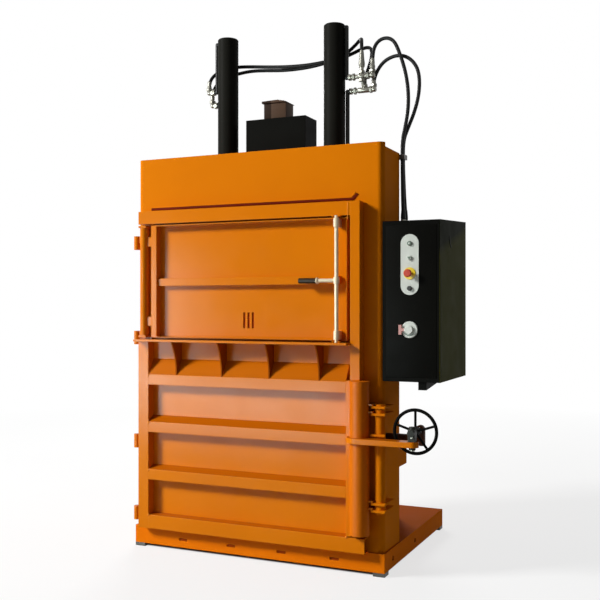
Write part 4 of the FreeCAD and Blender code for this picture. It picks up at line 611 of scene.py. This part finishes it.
VENT_PLACES = (-0.041, -0.016, 0.009)
VENT_LOW, VENT_HIGH = 1.189, 1.274
BLADE_SECTION = ((-0.009, -0.5258), (0.009, -0.5258), (0.009, -0.5200), (-0.004, -0.5160),
                 (-0.009, -0.5200))
# blades behind the vent slots, in painted shade
form = bmesh.new()
for middle in VENT_PLACES:
    prism(form, "Z", [(middle + x, y) for x, y in BLADE_SECTION], VENT_LOW, VENT_HIGH, soft=0.0006)
dress("vent_blades", form, SHADED_ORANGE, "feed_door")

DOOR_FACE = -0.574
POST_SEAM_X, POST_SEAM_LOW = 0.5445, 1.724
SEAM_BEAD = ((0.0, 0.0012), (0.003, 0.0024), (0.082, 0.0024), (0.085, 0.0012))
# a pale bead along the post's left edge: a painted highlight on the seam
form = bmesh.new()
stud(form, (POST_SEAM_X, DOOR_FACE, POST_SEAM_LOW), UP, SEAM_BEAD, sides=10)
dress("post_seam_highlight", form, HIGHLIGHT_ORANGE, "main_door")

STILE_EDGE = -0.599
DOT_PLACES = ((0.536, 0.188), (STILE_EDGE, 0.938), (STILE_EDGE, 0.682), (STILE_EDGE, 0.426),
              (STILE_EDGE, 0.188))
WELD_DOT = ((0.0, 0.0058), (0.0020, 0.0056), (0.0042, 0.0044), (0.0056, 0.0020))
# weld dots in the pale paint: painted highlights
form = bmesh.new()
for x, z in DOT_PLACES:
    stud(form, (x, DOOR_FACE + SUNK, z), FORWARD, WELD_DOT, sides=12)
dress("door_weld_dots", form, HIGHLIGHT_ORANGE, "main_door")

# ---------------------------------------------------------------- lever
LEVER_START = (0.3855, -0.589, 1.429)
LEVER_COLLAR = ((0.0, 0.009), (0.0015, 0.0145), (0.006, 0.0168), (0.0105, 0.0145), (0.0135, 0.0105),
                (0.020, 0.0098), (0.086, 0.0098), (0.090, 0.0085))
form = bmesh.new()
stud(form, LEVER_START, ALONG_X, LEVER_COLLAR)
dress("lever_collar", form, BAR_STEEL, "lock_bar")

# ---------------------------------------------------------------- controls
CONTROLS_X = 0.841
EYE = ((0.0, 0.0042), (0.0014, 0.0042), (0.0018, 0.0036))
EYE_SIDES = 20
ARROW_HALF_WIDTH, ARROW_TOP, ARROW_TIP, ARROW_PROUD = 0.0095, 0.006, 0.0095, 0.0008
ARC_IN, ARC_OUT, ARC_STEPS, ARC_PROUD = 0.0235, 0.0300, 12, 0.0006
ARC_START, ARC_SWEEP = 215.0, 110.0


def front_of(node):
    """A control's front face, along Y."""
    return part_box(node)[0][1]


def middle_of(node):
    """A control's middle, along Z."""
    low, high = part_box(node)
    return (low[2] + high[2]) / 2.0


face, level = front_of("start_button"), middle_of("start_button")
form = bmesh.new()
stud(form, (CONTROLS_X, face + SUNK, level), FORWARD, EYE, EYE_SIDES)
dress("start_button_eye", form, WHITE_PLASTIC, "start_button")

face, level = front_of("return_button"), middle_of("return_button")
form = bmesh.new()
prism(form, "Y", ((CONTROLS_X - ARROW_HALF_WIDTH, level + ARROW_TOP), (CONTROLS_X, level - ARROW_TIP),
                  (CONTROLS_X + ARROW_HALF_WIDTH, level + ARROW_TOP)), face - ARROW_PROUD, face + SUNK)
dress("return_button_arrow", form, GREEN_PLASTIC, "return_button")

face, level = front_of("main_switch_housing"), middle_of("main_switch_housing")
outline = []
for radius, steps in ((ARC_OUT, range(ARC_STEPS + 1)), (ARC_IN, range(ARC_STEPS, -1, -1))):
    for step in steps:
        angle = math.radians(ARC_START + ARC_SWEEP * step / ARC_STEPS)
        outline.append((CONTROLS_X + radius * math.cos(angle), level + radius * math.sin(angle)))
form = bmesh.new()
prism(form, "Y", outline, face - ARC_PROUD, face + SUNK)
dress("main_switch_scale", form, GREEN_PLASTIC, "machine_frame")

# ---------------------------------------------------------------- cabinet
CABINET_FRONT, CABINET_SIDE = -0.524, 0.987
DOOR_PROUD, SEAM_PROUD, PULL_PROUD = 0.0016, 0.0006, 0.0018
DOOR_OUTLINE = box_outline(0.722, 0.972, 0.966, 1.690)
SEAM_OUTLINE = ((-0.507, 0.965), (-0.503, 0.965), (-0.503, 1.448), (-0.520, 1.500), (-0.5235, 1.500),
                (-0.507, 1.446))
PULL_OUTLINE = ((-0.356, 1.644), (-0.346, 1.644), (-0.336, 1.612), (-0.316, 1.592), (-0.324, 1.588),
                (-0.346, 1.608))
form = bmesh.new()
prism(form, "Y", DOOR_OUTLINE, CABINET_FRONT - DOOR_PROUD, CABINET_FRONT + SUNK, soft=0.0008)
dress("cabinet_door", form, BLACK, "machine_frame")
form = bmesh.new()
prism(form, "X", SEAM_OUTLINE, CABINET_SIDE - SUNK, CABINET_SIDE + SEAM_PROUD)
prism(form, "X", PULL_OUTLINE, CABINET_SIDE - SUNK, CABINET_SIDE + PULL_PROUD, soft=0.0005)
dress("cover_seam_and_pull", form, BLACK, "machine_frame")

# ---------------------------------------------------------------- terminal box
(box_left, box_front, box_low), (_, box_back, box_high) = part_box("terminal_box")
WALL_LEFT, WALL_RIGHT, WALL_INSET = box_left + 0.010, 0.050, 0.008
LID_LOW, LID_RIGHT, LID_RIDGE = box_high - 0.014, WALL_RIGHT + 0.003, 0.004
LID_OUTLINE = ((box_left, LID_LOW - 0.001), (LID_RIGHT, LID_LOW - 0.001), (LID_RIGHT, LID_LOW + 0.002),
               (LID_RIDGE, box_high), (box_left, box_high - 0.003))
SCREW_PLACES, SCREW_RISE = (-0.062, 0.040), 0.004
SCREW = ((0.0, 0.0030), (0.0009, 0.0030), (0.001, 0.002))
form = bmesh.new()
for x in SCREW_PLACES:
    stud(form, (x, box_front + SUNK, LID_LOW + SCREW_RISE), FORWARD, SCREW, sides=12)
prism(form, "Y", box_outline(WALL_LEFT, WALL_RIGHT, box_low, LID_LOW), box_front + WALL_INSET,
      box_back - WALL_INSET, soft=0.002)
prism(form, "Y", LID_OUTLINE, box_front, box_back, soft=0.0015)
box = dress("terminal_housing", form, BROWN_PLASTIC, "machine_frame")
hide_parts("terminal_box")

# ---------------------------------------------------------------- clamp fittings
SWIVEL_BOLT_PLACE = (0.882, -0.626, 0.698)
SWIVEL_BOLT = ((0.0, 0.0085), (0.004, 0.0085), (0.0045, 0.0068), (0.009, 0.0068), (0.0105, 0.005))
SWIVEL_NUT_PLACE, SWIVEL_NUT_RADIUS, SWIVEL_NUT_LENGTH = (0.879, -0.610, 0.641), 0.0135, 0.017
form = bmesh.new()
stud(form, SWIVEL_BOLT_PLACE, FORWARD, SWIVEL_BOLT, HEX)
hex_nut(form, SWIVEL_NUT_PLACE, UP, SWIVEL_NUT_RADIUS, SWIVEL_NUT_LENGTH)
dress("swivel_bolts", form, ZINC, "main_door")

# ---------------------------------------------------------------- floor
FLOOR_SIZE = 24.0
FLOOR_LIGHT, FLOOR_DARK = (234, 234, 233), (226, 226, 225)
FLOOR_BOUNCE = (150, 148, 145)           # what the floor sends up to the object
FLOOR_ROUGH, FLOOR_GLOSS = 0.7, 0.2
FLOOR_VEIL = 0.72                        # share of plain white over the floor, near the object
FADE_START, FADE_END = 2.4, 7.0          # where the veil thickens to plain white
FOOTPRINT, FOOTPRINT_EDGE = (0.700, 0.510), 0.02         # half sizes of the patch without a veil
WORLD_LIGHT = 0.085

floor_mesh = bpy.data.meshes.new("floor")
floor_mesh.from_pydata(
    [(-FLOOR_SIZE, -FLOOR_SIZE, 0.0), (FLOOR_SIZE, -FLOOR_SIZE, 0.0), (FLOOR_SIZE, FLOOR_SIZE, 0.0),
     (-FLOOR_SIZE, FLOOR_SIZE, 0.0)], [], [(0, 1, 2, 3)])
floor = bpy.data.objects.new("floor", floor_mesh)
bpy.context.scene.collection.objects.link(floor)


def clear_sight(tree):
    """1 for a camera, glossy or transmission ray, and 0 for light on its way to a surface."""
    path = tree.nodes.new("ShaderNodeLightPath")
    seen = path.outputs["Is Camera Ray"]
    for ray in ("Is Glossy Ray", "Is Transmission Ray"):
        either = tree.nodes.new("ShaderNodeMath")
        either.operation = "MAXIMUM"
        tree.links.new(seen, either.inputs[0])
        tree.links.new(path.outputs[ray], either.inputs[1])
        seen = either.outputs[0]
    return seen


floor_finish = Finish("pale_floor")
spots = floor_finish.noise(0.8, 3.0)
tree = floor_finish.tree
clear = clear_sight(tree)
pale = floor_finish.mix(spots, linear(*FLOOR_DARK), linear(*FLOOR_LIGHT))
floor_colour = floor_finish.mix(clear, linear(*FLOOR_BOUNCE), pale)
floor_finish.feed(floor_finish.shader, "Base Color", floor_colour)
floor_finish.shader.inputs["Roughness"].default_value = FLOOR_ROUGH
floor_finish.shader.inputs["Specular IOR Level"].default_value = FLOOR_GLOSS
away = floor_finish.add("ShaderNodeVectorMath", {"operation": "LENGTH"})
floor_finish.feed(away, 0, floor_finish.place)
cover = floor_finish.ramp(away.outputs["Value"], FADE_START, FADE_END, FLOOR_VEIL, 1.0)
beside = [floor_finish.ramp(floor_finish.math("ABSOLUTE", floor_finish.along(letter)),
                            half - FOOTPRINT_EDGE, half, 0.0, 1.0)
          for letter, half in zip("XY", FOOTPRINT)]
cover = floor_finish.math("MULTIPLY", cover, floor_finish.math("MAXIMUM", *beside))
glow = tree.nodes.new("ShaderNodeEmission")
veil = tree.nodes.new("ShaderNodeMixShader")
tree.links.new(floor_finish.math("MULTIPLY", cover, clear), veil.inputs[0])
tree.links.new(floor_finish.shader.outputs[0], veil.inputs[1])
tree.links.new(glow.outputs[0], veil.inputs[2])
tree.links.new(veil.outputs[0], tree.nodes["Material Output"].inputs["Surface"])
floor_mesh.materials.append(floor_finish.material)

# ---------------------------------------------------------------- light
WHITE, FAINT_CYAN, FAINTER_CYAN = (1.0, 1.0, 1.0), (0.85, 1.0, 1.0), (0.9, 1.0, 1.0)
LAMPS = (                                # name, place, aim, size, power, colour, for sheen only
    ("key_light", (-7.3, -6.2, 6.2), (0.0, -0.5, 1.2), (2.2, 2.2), 1440.0, WHITE, False),
    ("back_light", (-3.0, 5.5, 4.5), (0.0, 0.0, 1.2), (2.6, 2.6), 260.0, WHITE, False),
    ("right_fill", (5.5, 4.0, 3.2), (0.0, 0.0, 1.2), (2.6, 2.6), 34.0, WHITE, False),
    ("low_window", (-1.90, -4.0, 0.38), (-1.90, 0.0, 0.38), (2.6, 0.50), 240.0, FAINT_CYAN, True),
    ("left_window", (-3.20, -4.0, 1.15), (-3.20, 0.0, 1.15), (0.7, 1.4), 210.0, FAINTER_CYAN, True),
    ("left_wall", (-2.65, -4.0, 1.25), (-2.65, 0.0, 1.25), (0.5, 1.0), 30.0, FAINTER_CYAN, True),
)

for name, place, aim, size, power, colour, sheen_only in LAMPS:
    data = bpy.data.lights.new(name, "AREA")
    data.shape = "RECTANGLE"
    data.size, data.size_y = size
    data.energy = power
    data.color = colour
    item = bpy.data.objects.new(name, data)
    item.location = place
    item.rotation_euler = (Vector(aim) - Vector(place)).to_track_quat("-Z", "Y").to_euler()
    item.visible_camera = False
    item.visible_diffuse = not sheen_only
    bpy.context.scene.collection.objects.link(item)

world = bpy.data.worlds.new("studio")
bpy.context.scene.world = world
world.use_nodes = True
tree = world.node_tree
tree.nodes.clear()
backdrop = tree.nodes.new("ShaderNodeBackground")
backdrop.inputs["Color"].default_value = (1.0, 1.0, 1.0, 1.0)
seen = clear_sight(tree)
brightness = tree.nodes.new("ShaderNodeMapRange")
tree.links.new(seen, brightness.inputs["Value"])
brightness.inputs["To Min"].default_value = WORLD_LIGHT
brightness.inputs["To Max"].default_value = 1.0
tree.links.new(brightness.outputs["Result"], backdrop.inputs["Strength"])
tree.links.new(backdrop.outputs[0], tree.nodes.new("ShaderNodeOutputWorld").inputs["Surface"])

bpy.context.scene.view_settings.view_transform = "Standard"
